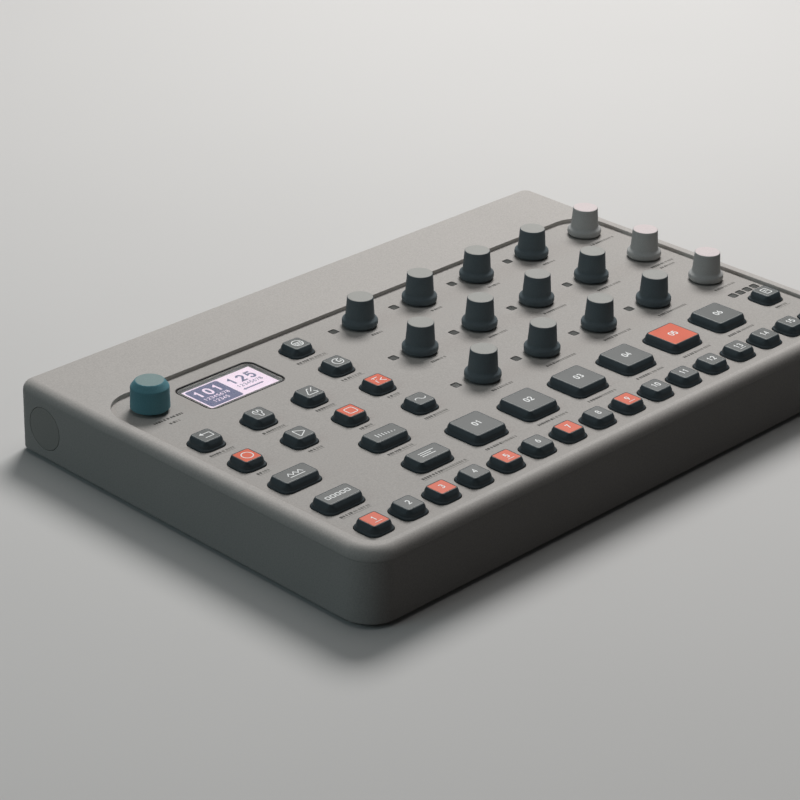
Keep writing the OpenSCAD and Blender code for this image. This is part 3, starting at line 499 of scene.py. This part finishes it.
# Pictograms as strokes (closed, points) in millimetres from the middle of the window.
WRENCH = [(-0.55, 2.35), (-0.5, 1.25), (0.1, 0.75), (0.75, 1.15), (0.85, 2.3), (1.55, 1.85), (1.95, 1.1),
          (1.75, 0.2), (0.95, -0.55), (0.85, -1.9), (0.15, -2.45), (-0.55, -1.95), (-0.6, -0.55),
          (-1.45, 0.15), (-1.7, 1.0), (-1.3, 1.85)]
PEAKS = [(-3.4, -0.6), (-2.3, 1.0), (-1.1, -0.6), (0.0, 1.0), (1.1, -0.6), (2.3, 1.0), (3.4, -0.6)]
ICONS = {
    "return_key": [(False, [(-0.7, 1.35), (2.25, 1.35), (2.45, 1.15), (2.45, -1.2), (2.25, -1.4),
                            (-1.4, -1.4)])],
    "settings_key": [(True, WRENCH)],
    "metronome_key": [(False, [(0.95, 1.75), (0.5, 2.15), (0.15, 1.9), (-2.05, -1.5), (-1.8, -2.0),
                               (2.3, -2.0), (2.5, -1.55), (1.7, -0.2)]),
                      (False, [(0.45, -0.15), (2.75, 2.3)])],
    "record_key": [(True, circle(0.1, -0.1, 2.1))],
    "play_key": [(True, [(-1.5, 1.9), (-1.2, 2.15), (2.2, 0.1), (2.25, -0.2), (-1.1, -2.35), (-1.5, -2.1)])],
    "stop_key": [(True, rounded(3.9, 3.9, 0.8, 0.2, -0.05, n=4))],
    "wave_key": [(False, bow(-1.15, -0.35, 1.15, 1.15, 175, 30, 8)
                  + bow(1.25, 0.15, 1.2, 1.05, 215, 355, 8))],
    "mute_key": [(False, [(-1.75, 1.65), (1.15, 1.75)]), (False, [(-0.95, 1.6), (-0.95, 0.75)]),
                 (False, [(-1.55, -0.2), (-1.55, -2.2)]), (False, [(-0.75, -0.4), (-0.75, 0.1)]),
                 (False, [(2.25, 0.35), (0.45, -0.75), (2.35, -2.2)])],
    "tempo_key": [(False, bow(0.35, -0.2, 2.15, 2.15, 62, 385, 24)),
                  (False, [(2.15, 1.75), (0.35, 0.75), (0.35, -0.9), (1.55, -0.9), (1.55, 0.1)])],
    "menu_key": [(True, circle(0.3, 0.0, 2.2)), (False, [(-1.45, 0.4), (2.05, 0.4)]),
                 (False, [(-1.55, -0.45), (2.15, -0.45)]), (False, [(-1.15, -1.3), (1.75, -1.3)])],
    "pattern_key": [(True, rounded(1.5, 1.7, 0.2, -4.5 + 2.25 * i, 0, n=2)) for i in range(5)],
    "track_key": [(False, [(-3.7, 1.1), (3.7, 1.1)]), (False, [(-3.7, 0.0), (1.6, 0.0)]),
                  (False, [(-3.7, -1.1), (2.8, -1.1)])],
    "function_key": [(False, PEAKS), (False, [(-3.4, -1.6), (3.4, -1.6)])],
    "retrigger_key": bars([2.3, 2.0, 1.7, 1.4, 1.1, 0.8, 0.5], -3.9, 1.3),
    "page_key": [(True, rounded(3.0, 3.9, 0.4, 0.0, 0.0, n=3)), (False, [(-0.7, 0.7), (0.7, 0.7)]),
                 (False, [(-0.7, -0.2), (0.7, -0.2)])],
}
KEYS = [*TRIGS, *PADS, *ICONS]
# The filled head of the return arrow, and the bar under the number of each beat's first step
ARROW_HEAD = [(-0.65, 2.35), (-2.05, 1.35), (-0.65, 0.35)]
BAR_UNDER = [(-1.5, -2.1), (1.7, -2.1)]
# Keys that are lit in the photograph
LIT_KEYS = {"trig_key_%d" % i for i in (1, 3, 5, 7, 9)} | {"pad_5", "record_key", "stop_key", "mute_key"}


# ---------------------------------------------------------------- keys

# Foot of the cap round its window, flange round the foot, radius of their corners
BORDER = 2.1
FLANGE = 0.75
BASE_R = 3.3
# Parts of a key below the panel's face
FLANGE_TOP = -2.6
FLANGE_FOOT = -3.8
STEM_FOOT = -6.0
STEM = 4
STEM_R = 0.2
PLUNGER_TOP = -6.02
PLUNGER_R = 1.7
# Outside of the cap from the flange up to the brim: distance from the window, corner radius, height.
# A bead at the foot, an upright flank, and a round shoulder that slopes in to the window.
CAP_PROFILE = [(BORDER, BASE_R, FLANGE_TOP), (BORDER, BASE_R, 0.34), (2.06, 3.28, 0.48), (1.96, 3.26, 0.6),
               (1.82, 3.3, 0.69), (1.72, 3.36, 0.78), (1.66, 3.42, 0.94), (1.62, 3.4, 1.25),
               (1.55, 3.25, 1.6), (1.42, 2.98, 1.92), (1.24, 2.6, 2.23), (1.02, 2.2, 2.52),
               (0.83, 1.8, 2.76), (0.65, 1.4, 2.98), (0.5, 1.14, 3.17)]
# Brim of the cap, and the window's rim, painted lighter as a highlight along its edge: distance from the
# window, corner radius, depth below its top
RISE = 0.06
BRIM_PROFILE = [(0.42, 1.0, RISE + 0.04), (0.34, 0.9, RISE), (0.06, 0.57, RISE), (0.03, 0.53, RISE + 0.04),
                (0.03, 0.53, 1.0)]
PANE_PROFILE = [(0, 0.5, 0.98), (0, 0.5, 0.1), (-0.03, 0.48, 0.05), (-0.1, 0.43, 0.015),
                (-0.18, 0.37, 0.004)]
# Middle of the window inside that rim: distance from the window's edge, corner radius, and its thickness
PLATE = (-0.18, 0.37)
PLATE_T = 0.005
# Printed legends: thickness, widths of their strokes, and height and place of the numbers
PRINT_T = 0.015
TRIG_STROKE = 0.46
PAD_STROKE = 0.52
ICON_STROKE = 0.38
BAR_STROKE = 0.26
TRIG_DIGITS = (2.35, 0.1, 0.15)
PAD_DIGITS = (2.5, 0.1, 0.1)
STEPS_PER_BEAT = 4


def legend(name):
    """Strokes (closed, points, width) of a key's plain number or pictogram."""
    if name in TRIGS:
        strokes = [(*stroke, TRIG_STROKE) for stroke in digits(name.split("_")[-1], *TRIG_DIGITS)]
        if TRIGS.index(name) % STEPS_PER_BEAT == 0:
            strokes.append((False, BAR_UNDER, BAR_STROKE))
        return strokes
    if name in PADS:
        return [(*stroke, PAD_STROKE) for stroke in digits("0" + name[-1], *PAD_DIGITS)]
    return [(*stroke, ICON_STROKE) for stroke in ICONS[name]]


def key_piece(name):
    """A key: cap with a brim, its light window, the legend on it, and the stem and plunger below."""
    low, high = panel_box(name)
    place = middle(low, high)
    size = trimmed(low, high, BORDER + FLANGE)
    top = high.z
    lit = name in LIT_KEYS
    shape = Shape()
    shape.plate(circle(*place, PLUNGER_R), low.z, PLUNGER_TOP, BLACK)
    shape.plate(rounded(STEM, STEM, STEM_R, *place), STEM_FOOT, FLANGE_FOOT, CAP)
    flange = [(BORDER + FLANGE, BASE_R, h) for h in (FLANGE_FOOT, FLANGE_TOP)]
    brim = [(grow, r, top - depth) for grow, r, depth in BRIM_PROFILE]
    shape.loft([ring(place, size, *step) for step in flange + CAP_PROFILE + brim], CAP)
    pane = [ring(place, size, grow, r, top - depth) for grow, r, depth in PANE_PROFILE]
    # The window's rim gets the painted highlight.
    shape.loft(pane, LIT_PANE_EDGE_HIGHLIGHT if lit else PANE_EDGE_HIGHLIGHT, closed_above=False)
    shape.loft([ring(place, size, *PLATE, h) for h in (top - PLATE_T, top)], LIT if lit else WINDOW)
    for closed, line, width in legend(name):
        shape.strip(moved(line, place), width, top, top + PRINT_T, LEGEND, closed)
    if name == "return_key":
        shape.plate(moved(ARROW_HEAD, place), top, top + PRINT_T, LEGEND)
    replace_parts(shape.build(name + "_piece", name, ROUND_LIMIT), name)


for name in KEYS:
    key_piece(name)


# ---------------------------------------------------------------- CAD nodes

# Sizes that tell the solids of one node apart. The side plugs are the only hardware near the case's sides,
# the feet are wider than the screws, and only the boards are wider than BOARD_W.
PLUG_REACH = 4
FOOT_W = 10
BOARD_W = 100
# Light pipes are narrow and reach up to the panel. Encoders are wide, with a brass bushing above their body.
PIPE_W = 3.6
PIPE_TOP = -0.5
ENCODER_W = 10
BUSHING_FOOT = -4.5
# Screws are narrow and low. The USB port's shell has its own width and height, and a knob's shaft is narrow.
SCREW_W = 5
SCREW_TOP = -9
USB_W = (9, 9.6)
USB_H = 5
SHAFT_W = 8
# Faces that belong to the panel's face or to a knob's flat top
FACE_GAP = 0.03
KNOB_TOP_BAND = 1
FACING_UP = 0.9

CASE_LOW, CASE_HIGH = panel_box("top_case")


def solids(mesh):
    """The separate solids of a CAD mesh, as lists of face numbers."""
    place = welded(mesh)
    parent = list(range(int(place.max()) + 1))

    def root(i):
        while parent[i] != i:
            parent[i] = parent[parent[i]]
            i = parent[i]
        return i

    for face in mesh.polygons:
        ids = [root(place[v]) for v in face.vertices]
        for other in ids[1:]:
            parent[root(other)] = root(ids[0])
    groups = {}
    for face in mesh.polygons:
        groups.setdefault(root(place[face.vertices[0]]), []).append(face.index)
    return list(groups.values())


def dress(name, choose, limit=CAD_LIMIT):
    """Gives each face of a CAD node the material that choose names, from the box of its solid in the
    panel's frame, the face's middle there and its normal. Returns the boxes of the solids."""
    mesh = frame["nodes"][name].data
    kinds = [CASE] * len(mesh.polygons)
    boxes = []
    for faces in solids(mesh):
        low, high = extent(TO_PANEL @ mesh.vertices[v].co for f in faces for v in mesh.polygons[f].vertices)
        boxes.append((low, high))
        for f in faces:
            face = mesh.polygons[f]
            kinds[f] = choose(low, high, TO_PANEL @ face.center, face.normal)
    give_materials(mesh, kinds)
    soften(mesh, limit)
    return boxes


def shell(low, high, at, normal):
    """The panel's face, and the rest of the upper shell."""
    return FACE if abs(at.z) < FACE_GAP and normal.z > FACING_UP else CASE


def hardware(low, high, at, normal):
    """Side plugs, feet and screws."""
    if high.x > CASE_HIGH.x - PLUG_REACH or low.x < CASE_LOW.x + PLUG_REACH:
        return PLUG
    return RUBBER if high.x - low.x > FOOT_W else STEEL


def is_pipe(low, high):
    """Whether a solid of the main board is a light pipe."""
    return high.z > PIPE_TOP and high.x - low.x < PIPE_W


def board(low, high, at, normal):
    """The main board with its light pipes, encoders, screws and key switches."""
    wide = high.x - low.x
    if wide > BOARD_W:
        return LAMINATE
    if is_pipe(low, high):
        return MASK_AND_GAP_SHADE
    if wide > ENCODER_W:
        return STEEL if at.z < BUSHING_FOOT else BRASS
    return STEEL if wide < SCREW_W and high.z < SCREW_TOP else BLACK


def sockets(low, high, at, normal):
    """The rear board with its screws, the USB port's shell and the bodies of the sockets."""
    wide = high.x - low.x
    if wide > BOARD_W:
        return LAMINATE
    usb_shell = USB_W[0] < wide < USB_W[1] and high.z - low.z < USB_H
    return STEEL if wide < SCREW_W or usb_shell else BLACK


def knob(name, side, top):
    """A knob on a steel shaft, its flat top lighter than its sides: a painted reflection of the light above.
    """
    level = panel_box(name)[1].z - KNOB_TOP_BAND

    def choose(low, high, at, normal):
        if high.x - low.x < SHAFT_W:
            return STEEL
        # The flat top gets the painted reflection.
        return top if at.z > level and normal.z > FACING_UP else side

    dress(name, choose, KNOB_LIMIT)


dress("top_case", shell)
dress("bottom_case", lambda *where: BASE)
dress("power_switch", lambda *where: BLACK)
dress("case_hardware", hardware)
dress("rear_connectors", sockets)
pipes = [box for box in dress("circuit_board", board) if is_pipe(*box)]
for name in KNOBS:
    knob(name, KNOB, PAINTED_KNOB_TOP)
for name in SIDE_KNOBS:
    knob(name, SIDE_KNOB, PAINTED_SIDE_TOP)
knob("data_knob", DATA_BODY, PAINTED_DATA_TOP)

# Rounder corners for the openings of the keys: collars just below the panel's face, with their outer side
# hidden in the panel. KEY_GAP is left round a cap's foot.
KEY_GAP = 0.3
OPENING_R = 2.5
HIDDEN = 0.05
COLLAR_IN = 0.02
COLLAR_TOP = -0.004
COLLAR_FOOT = -1.2
openings = Shape()
for name in KEYS:
    low, high = panel_box(name)
    outside = (KEY_GAP + HIDDEN, OPENING_R)
    inside = (KEY_GAP - COLLAR_IN, BASE_R + KEY_GAP)
    steps = [(*outside, COLLAR_FOOT), (*outside, COLLAR_TOP), (*inside, COLLAR_TOP), (*inside, COLLAR_FOOT)]
    openings.tube([ring(middle(low, high), trimmed(low, high, FLANGE), *step) for step in steps], FACE)
openings.build("key_openings", "case", FLAT_LIMIT)

# The diffusing middle of each light pipe, inside its dark rim
PIPE_RIM = 0.36
DIFFUSER_R = 0.35
DIFFUSER_FOOT = -0.2
DIFFUSER_TOP = 0.012
lights = Shape()
for low, high in pipes:
    size = trimmed(low, high, PIPE_RIM)
    ends = (high.z + DIFFUSER_FOOT, high.z + DIFFUSER_TOP)
    lights.loft([ring(middle(low, high), size, 0, DIFFUSER_R, h) for h in ends], LIGHT_PIPE)
lights.build("indicator_windows", "case")


# ---------------------------------------------------------------- display

# The holder reaches past the window by HOLDER. The window's black rim, painted shade of the gap round the
# window, laps over its clear middle.
HOLDER = 1.5
HOLDER_R = 1.0
LENS_R = 3.6
LENS_RIM = 0.42
LENS_LAP = 0.05
LENS_TOP = -0.05
LENS_FOOT = -0.85
LENS_INSET = 0.02
# The glass lies inside the window's edge by GLASS_IN, on the sloped upper side of the holder. The holder's
# steps give the distance from the window, the corner radius and the height.
GLASS_IN = 1.4
GLASS_R = 0.8
GLASS_FOOT = -2.55
HOLDER_STEPS = [(HOLDER, HOLDER_R, -3.5), (HOLDER - 0.05, 0.95, -2.9), (-GLASS_IN, GLASS_R, -2.6)]
# The lit screen on the glass: size, place from the middle of the window, corner radius, height and thickness,
# and the thickness of each layer of its picture
SCREEN = (32.6, 16.5)
SCREEN_OFFSET = (-0.45, -0.5)
SCREEN_R = 0.25
SCREEN_H = -1.0
SCREEN_T = 0.01
LAYER = 0.012

low, high = panel_box("display")
LENS_AT = middle(low, high)
LENS_SIZE = trimmed(low, high, HOLDER)
SCREEN_AT = (LENS_AT[0] + SCREEN_OFFSET[0], LENS_AT[1] + SCREEN_OFFSET[1])

window = Shape()
rim = rounded(LENS_SIZE[0] - LENS_RIM, LENS_SIZE[1] - LENS_RIM, LENS_R - LENS_RIM / 2, *LENS_AT)
window.strip(rim, LENS_RIM, LENS_FOOT, LENS_TOP, MASK_AND_GAP_SHADE, closed=True)
clear = (LENS_LAP - LENS_RIM, LENS_R - LENS_RIM + LENS_LAP)
ends = (LENS_FOOT + LENS_INSET, LENS_TOP - LENS_INSET)
window.loft([ring(LENS_AT, LENS_SIZE, *clear, h) for h in ends], LENS)
window.build("display_window", "case", ROUND_LIMIT)

screen = Shape()
steps = [(HOLDER, HOLDER_R, low.z), *HOLDER_STEPS]
screen.loft([ring(LENS_AT, LENS_SIZE, *step) for step in steps], FRAME)
ends = (GLASS_FOOT, SCREEN_H - 2 * SCREEN_T)
screen.loft([ring(LENS_AT, LENS_SIZE, -GLASS_IN, GLASS_R, h) for h in ends], FRAME)
screen.loft([ring(SCREEN_AT, SCREEN, 0, SCREEN_R, h) for h in (SCREEN_H - SCREEN_T, SCREEN_H)], PINK)


def on_screen(across, down):
    """A place on the screen, from its top left corner."""
    return SCREEN_AT[0] - SCREEN[0] / 2 + across, SCREEN_AT[1] + SCREEN[1] / 2 - down


def patch(left, top, right, bottom, r):
    """A violet field on the screen."""
    place = on_screen((left + right) / 2, (top + bottom) / 2)
    field = rounded(right - left, bottom - top, r, *place, n=4)
    screen.plate(field, SCREEN_H, SCREEN_H + LAYER, VIOLET)


def numbers(rows, height, stroke, step):
    """Plain numbers on the screen, from rows of (text, across, down, colour, layers)."""
    for text, across, down, kind, layers in rows:
        for closed, line in digits(text, height, *on_screen(across, down), step=step):
            screen.strip(line, stroke, SCREEN_H, SCREEN_H + LAYER * layers, kind, closed)


patch(left=0.75, top=0.75, right=16.1, bottom=15.9, r=1.0)
numbers([("101", 8.2, 5.4, PINK, 2), ("125", 24.2, 5.4, VIOLET, 1)], height=4.4, stroke=0.95, step=1.0)
numbers([("12345678", 8.2, 9.9, PINK, 2), ("12345", 7.8, 12.9, PINK, 2), ("12345678", 24.2, 10.0, VIOLET, 1)],
        height=1.7, stroke=0.3, step=0.88)
patch(left=19.6, top=12.6, right=28.0, bottom=13.4, r=0.1)
arrow = moved([(0, 0), (1.2, -0.85), (1.2, 0.85)], on_screen(18.3, 13.0))
screen.plate(arrow, SCREEN_H, SCREEN_H + LAYER, VIOLET)
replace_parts(screen.build("display_screen", "case", FLAT_LIMIT), "display")


# ---------------------------------------------------------------- border of the panel

# The photograph shows the rim as high above the panel at the front as at the rear. This piece raises the
# case's rim there, and rounds it down to the walls. It ends level with the case, at the panel's rear corners.
# Its sizes are in millimetres in the world's frame.
RIM_H = 1.45
SIDE_RIM = 6.2
FRONT_RIM = 5.0
RIM_END = 39.5
PANEL_R = 9.0
CASE_R = 12.0
# Radius and steps of the rounding at the walls and at the panel, and steps of the corners
EDGE_R = 4.2
EDGE_STEPS = 14
INNER_R = 0.3
INNER_STEPS = 4
CORNER_STEPS = 12
# The border's inner side stands proud of the case's by PROUD, its top dips by DIP at the rear, and its edges
# reach below the panel's face by SUNK and into the wall by TUCK.
PROUD = 0.03
DIP = 0.02
SUNK = 0.1
TUCK = 0.6

case = np.array([v.co for v in frame["nodes"]["top_case"].data.vertices]) / MM
HALF_W = case[:, 0].max()
FRONT = case[:, 1].min()
CASE_TOP = case[:, 2].max()
crest = PANEL @ Vector((0, 0, RIM_H)) / MM


def rise(y):
    """How far the border stands above the case's top."""
    return crest.z - (y - crest.y) * UP.y / UP.z - CASE_TOP - DIP


def reach(x, y):
    """Distance of a place from the case's front and side walls."""
    across = abs(x) - (HALF_W - CASE_R)
    along = FRONT + CASE_R - y
    if across > 0 and along > 0:
        return CASE_R - math.hypot(across, along)
    return CASE_R - max(across, along)


def crown(x, y):
    """Height of the border's upper side, an ellipse down to the wall."""
    turn = 1 - min(max(reach(x, y), 0), EDGE_R) / EDGE_R
    return CASE_TOP - EDGE_R + (EDGE_R + rise(y)) * math.sqrt(1 - turn * turn)


def outline(half, front, r):
    """One side, the front and the other side of an outline, in step with the other outlines."""
    left = [(-half + r + x, front + r + y) for x, y in bow(0, 0, r, r, 180, 270, CORNER_STEPS)]
    right = [(-x, y) for x, y in left[::-1]]
    return [(-half, RIM_END), *left, *right, (half, RIM_END)]


def section(start, end):
    """The border from the panel's face over the crest to the wall, in the panel's frame."""
    inner = Vector(start)
    outer = Vector(end)
    out = (outer - inner).normalized()
    height = CASE_TOP + rise(inner.y)
    points = [(*inner, height - RIM_H - SUNK)]
    for x, z in bow(0, 0, INNER_R, INNER_R, 0, 90, INNER_STEPS):
        points.append((*(inner + out * (INNER_R - x)), height - INNER_R + z))
    for x, _ in bow(0, 0, EDGE_R, EDGE_R, 90, 0, EDGE_STEPS)[:-1]:
        place = outer - out * (EDGE_R - x)
        points.append((*place, crown(*place)))
    points.append((*(outer - out * TUCK), CASE_TOP - EDGE_R - TUCK))
    return [TO_PANEL @ (Vector(p) * MM) for p in points]


inner = outline(HALF_W - SIDE_RIM - PROUD, FRONT + FRONT_RIM + PROUD, PANEL_R)
outer = outline(HALF_W, FRONT, CASE_R)
border = Shape()
border.loft([section(*ends) for ends in zip(inner, outer)], CASE)
border.build("panel_border", "case")


# ---------------------------------------------------------------- print on the panel

INK_FOOT = -0.005
INK_TOP = 0.012
# The plain marks of a label: least and greatest width, least rest of the row, corner radius, gaps
MARK_W = (0.55, 1.1)
MARK_REST = 0.5
MARK_R = 0.12
MARK_GAPS = (0.28, 0.28, 0.28, 0.6)
# The thin line below a label
LINE_T = 0.22
LINE_R = 0.05
LINE_DROP = 0.55
# Widths of the labels, as in the photograph where it shows them
KNOB_LABELS = (6.4, 6.6, 7, 7, 8, 10.2, 13, 14, 11, 16.5, 16.3, 16.3)
SIDE_LABELS = (13.9, 13.6, 12)
KEY_LABELS = {"return_key": 10.9, "settings_key": 11, "metronome_key": 9, "record_key": 5.5, "play_key": 6.5,
              "stop_key": 6.3, "menu_key": 14.8, "tempo_key": 10.4, "mute_key": 5.9, "wave_key": 11.5,
              "retrigger_key": 13, "pattern_key": 13.5, "track_key": 22, "page_key": 7.5}

ink = Shape()
chance = random.Random(5)


def label(node, drop, width, height=1.25, dark=0.45, line=False):
    """A row of small plain marks below a key or knob, its first part darker; maybe a thin line below."""
    x, y = centre(node)
    y -= drop
    left = x - width / 2
    at = left
    while at < left + width - MARK_REST:
        wide = min(chance.uniform(*MARK_W), left + width - at)
        kind = PRINT if at - left < dark * width else PALE_PRINT
        ink.plate(rounded(wide, height, MARK_R, at + wide / 2, y, n=2), INK_FOOT, INK_TOP, kind)
        at += wide + chance.choice(MARK_GAPS)
    if line:
        stroke = rounded(width, LINE_T, LINE_R, x, y - height / 2 - LINE_DROP, n=1)
        ink.plate(stroke, INK_FOOT, INK_TOP, PALE_PRINT)


for name, width in zip([*KNOBS, *SIDE_KNOBS], [*KNOB_LABELS, *SIDE_LABELS]):
    label(name, drop=9.6, width=width)
label(SIDE_KNOBS[1], drop=12.3, width=9.0, height=1.1)
label("data_knob", drop=9.5, width=13.2, dark=1)
label("data_knob", drop=13.0, width=4.6)
for name, width in KEY_LABELS.items():
    label(name, drop=8.0, width=width, line=True)
for name in PADS:
    label(name, drop=11.7, width=15.7)
ink.build("panel_print", "case", FLAT_LIMIT)


# ---------------------------------------------------------------- stage, light and camera

# The floor's width in metres, and its colours to the camera and to the light
FLOOR_SIZE = 12
FLOOR_COLOUR = (0.62, 0.62, 0.61, 1)
FLOOR_DIM = (0.05, 0.05, 0.05, 1)
# Strength of the world on the object, and as it is seen by the camera and through the display's window
AMBIENT = 0.04
BACKGROUND = 0.7


def backdrop(name, colour, dim):
    """Pale to the camera and in reflections, dim to the light that it sends back."""
    m = surface(name)
    path = m.add("ShaderNodeLightPath").outputs
    seen = m.largest(path["Is Glossy Ray"], path["Is Transmission Ray"], path["Is Camera Ray"])
    pale = m.mix(m.spread(m.noise(3, detail=3)), colour, shaded(colour, 0.97))
    m.set(Base_Color=m.mix(seen, dim, pale), Roughness=0.9, Specular_IOR_Level=0.1)
    return m.owner


bpy.ops.mesh.primitive_plane_add(size=FLOOR_SIZE, location=(0, 0, 0))
floor = bpy.context.object
floor.name = "floor"
floor.data.materials.append(backdrop("floor_paint", FLOOR_COLOUR, FLOOR_DIM))

studio = Nodes(bpy.data.worlds.new("studio"), "Background")
path = studio.add("ShaderNodeLightPath").outputs
seen = studio.largest(path["Is Camera Ray"], path["Is Transmission Ray"])
studio.set(Color=(1, 1, 1, 1), Strength=studio.ramp(seen, 0, 1, AMBIENT, BACKGROUND))
bpy.context.scene.world = studio.owner


def softbox(name, place, size, power, colour):
    """A round soft light that looks at the object. Place and size are in metres, the power in watts."""
    lamp = bpy.data.lights.new(name, "AREA")
    lamp.shape = "DISK"
    lamp.size = size
    lamp.energy = power
    lamp.color = colour
    stand = bpy.data.objects.new(name, lamp)
    stand.location = place
    stand.rotation_mode = "QUATERNION"
    stand.rotation_quaternion = (-Vector(place)).to_track_quat("-Z", "Y")
    bpy.context.scene.collection.objects.link(stand)


softbox("key_light", place=(0.57, 0.4, 0.9), size=0.5, power=11, colour=(1, 0.975, 0.965))
softbox("top_fill", place=(0, 0.05, 1.1), size=0.9, power=1.9, colour=(1, 0.985, 0.975))
softbox("left_fill", place=(-1.8, 0.5, 1.0), size=1.2, power=4.8, colour=(0.72, 0.94, 1))

# The camera, fitted to the photograph in the panel's own frame: its place, and the directions of its picture
CAMERA_AT = Vector((-550.8, -536.0, 425.4))
RIGHT = Vector((0.69712, -0.71669, 0.01956))
DOWN = Vector((-0.30482, -0.32096, -0.89670))
AHEAD = Vector((0.64893, 0.61914, -0.44221))
SENSOR = 36
FOCAL_LENGTH = 121.493
CLIP_START = 0.05
turn = PANEL.to_3x3().normalized()
axes = Matrix([turn @ RIGHT, -(turn @ DOWN), -(turn @ AHEAD)]).transposed()
optics = bpy.data.cameras.new("camera")
optics.sensor_width = SENSOR
optics.lens = FOCAL_LENGTH
optics.clip_start = CLIP_START
camera = bpy.data.objects.new("camera", optics)
camera.rotation_mode = "QUATERNION"
camera.location = PANEL @ CAMERA_AT
camera.rotation_quaternion = axes.to_quaternion()
bpy.context.scene.collection.objects.link(camera)
bpy.context.scene.camera = camera
bpy.context.scene.view_settings.view_transform = "Standard"
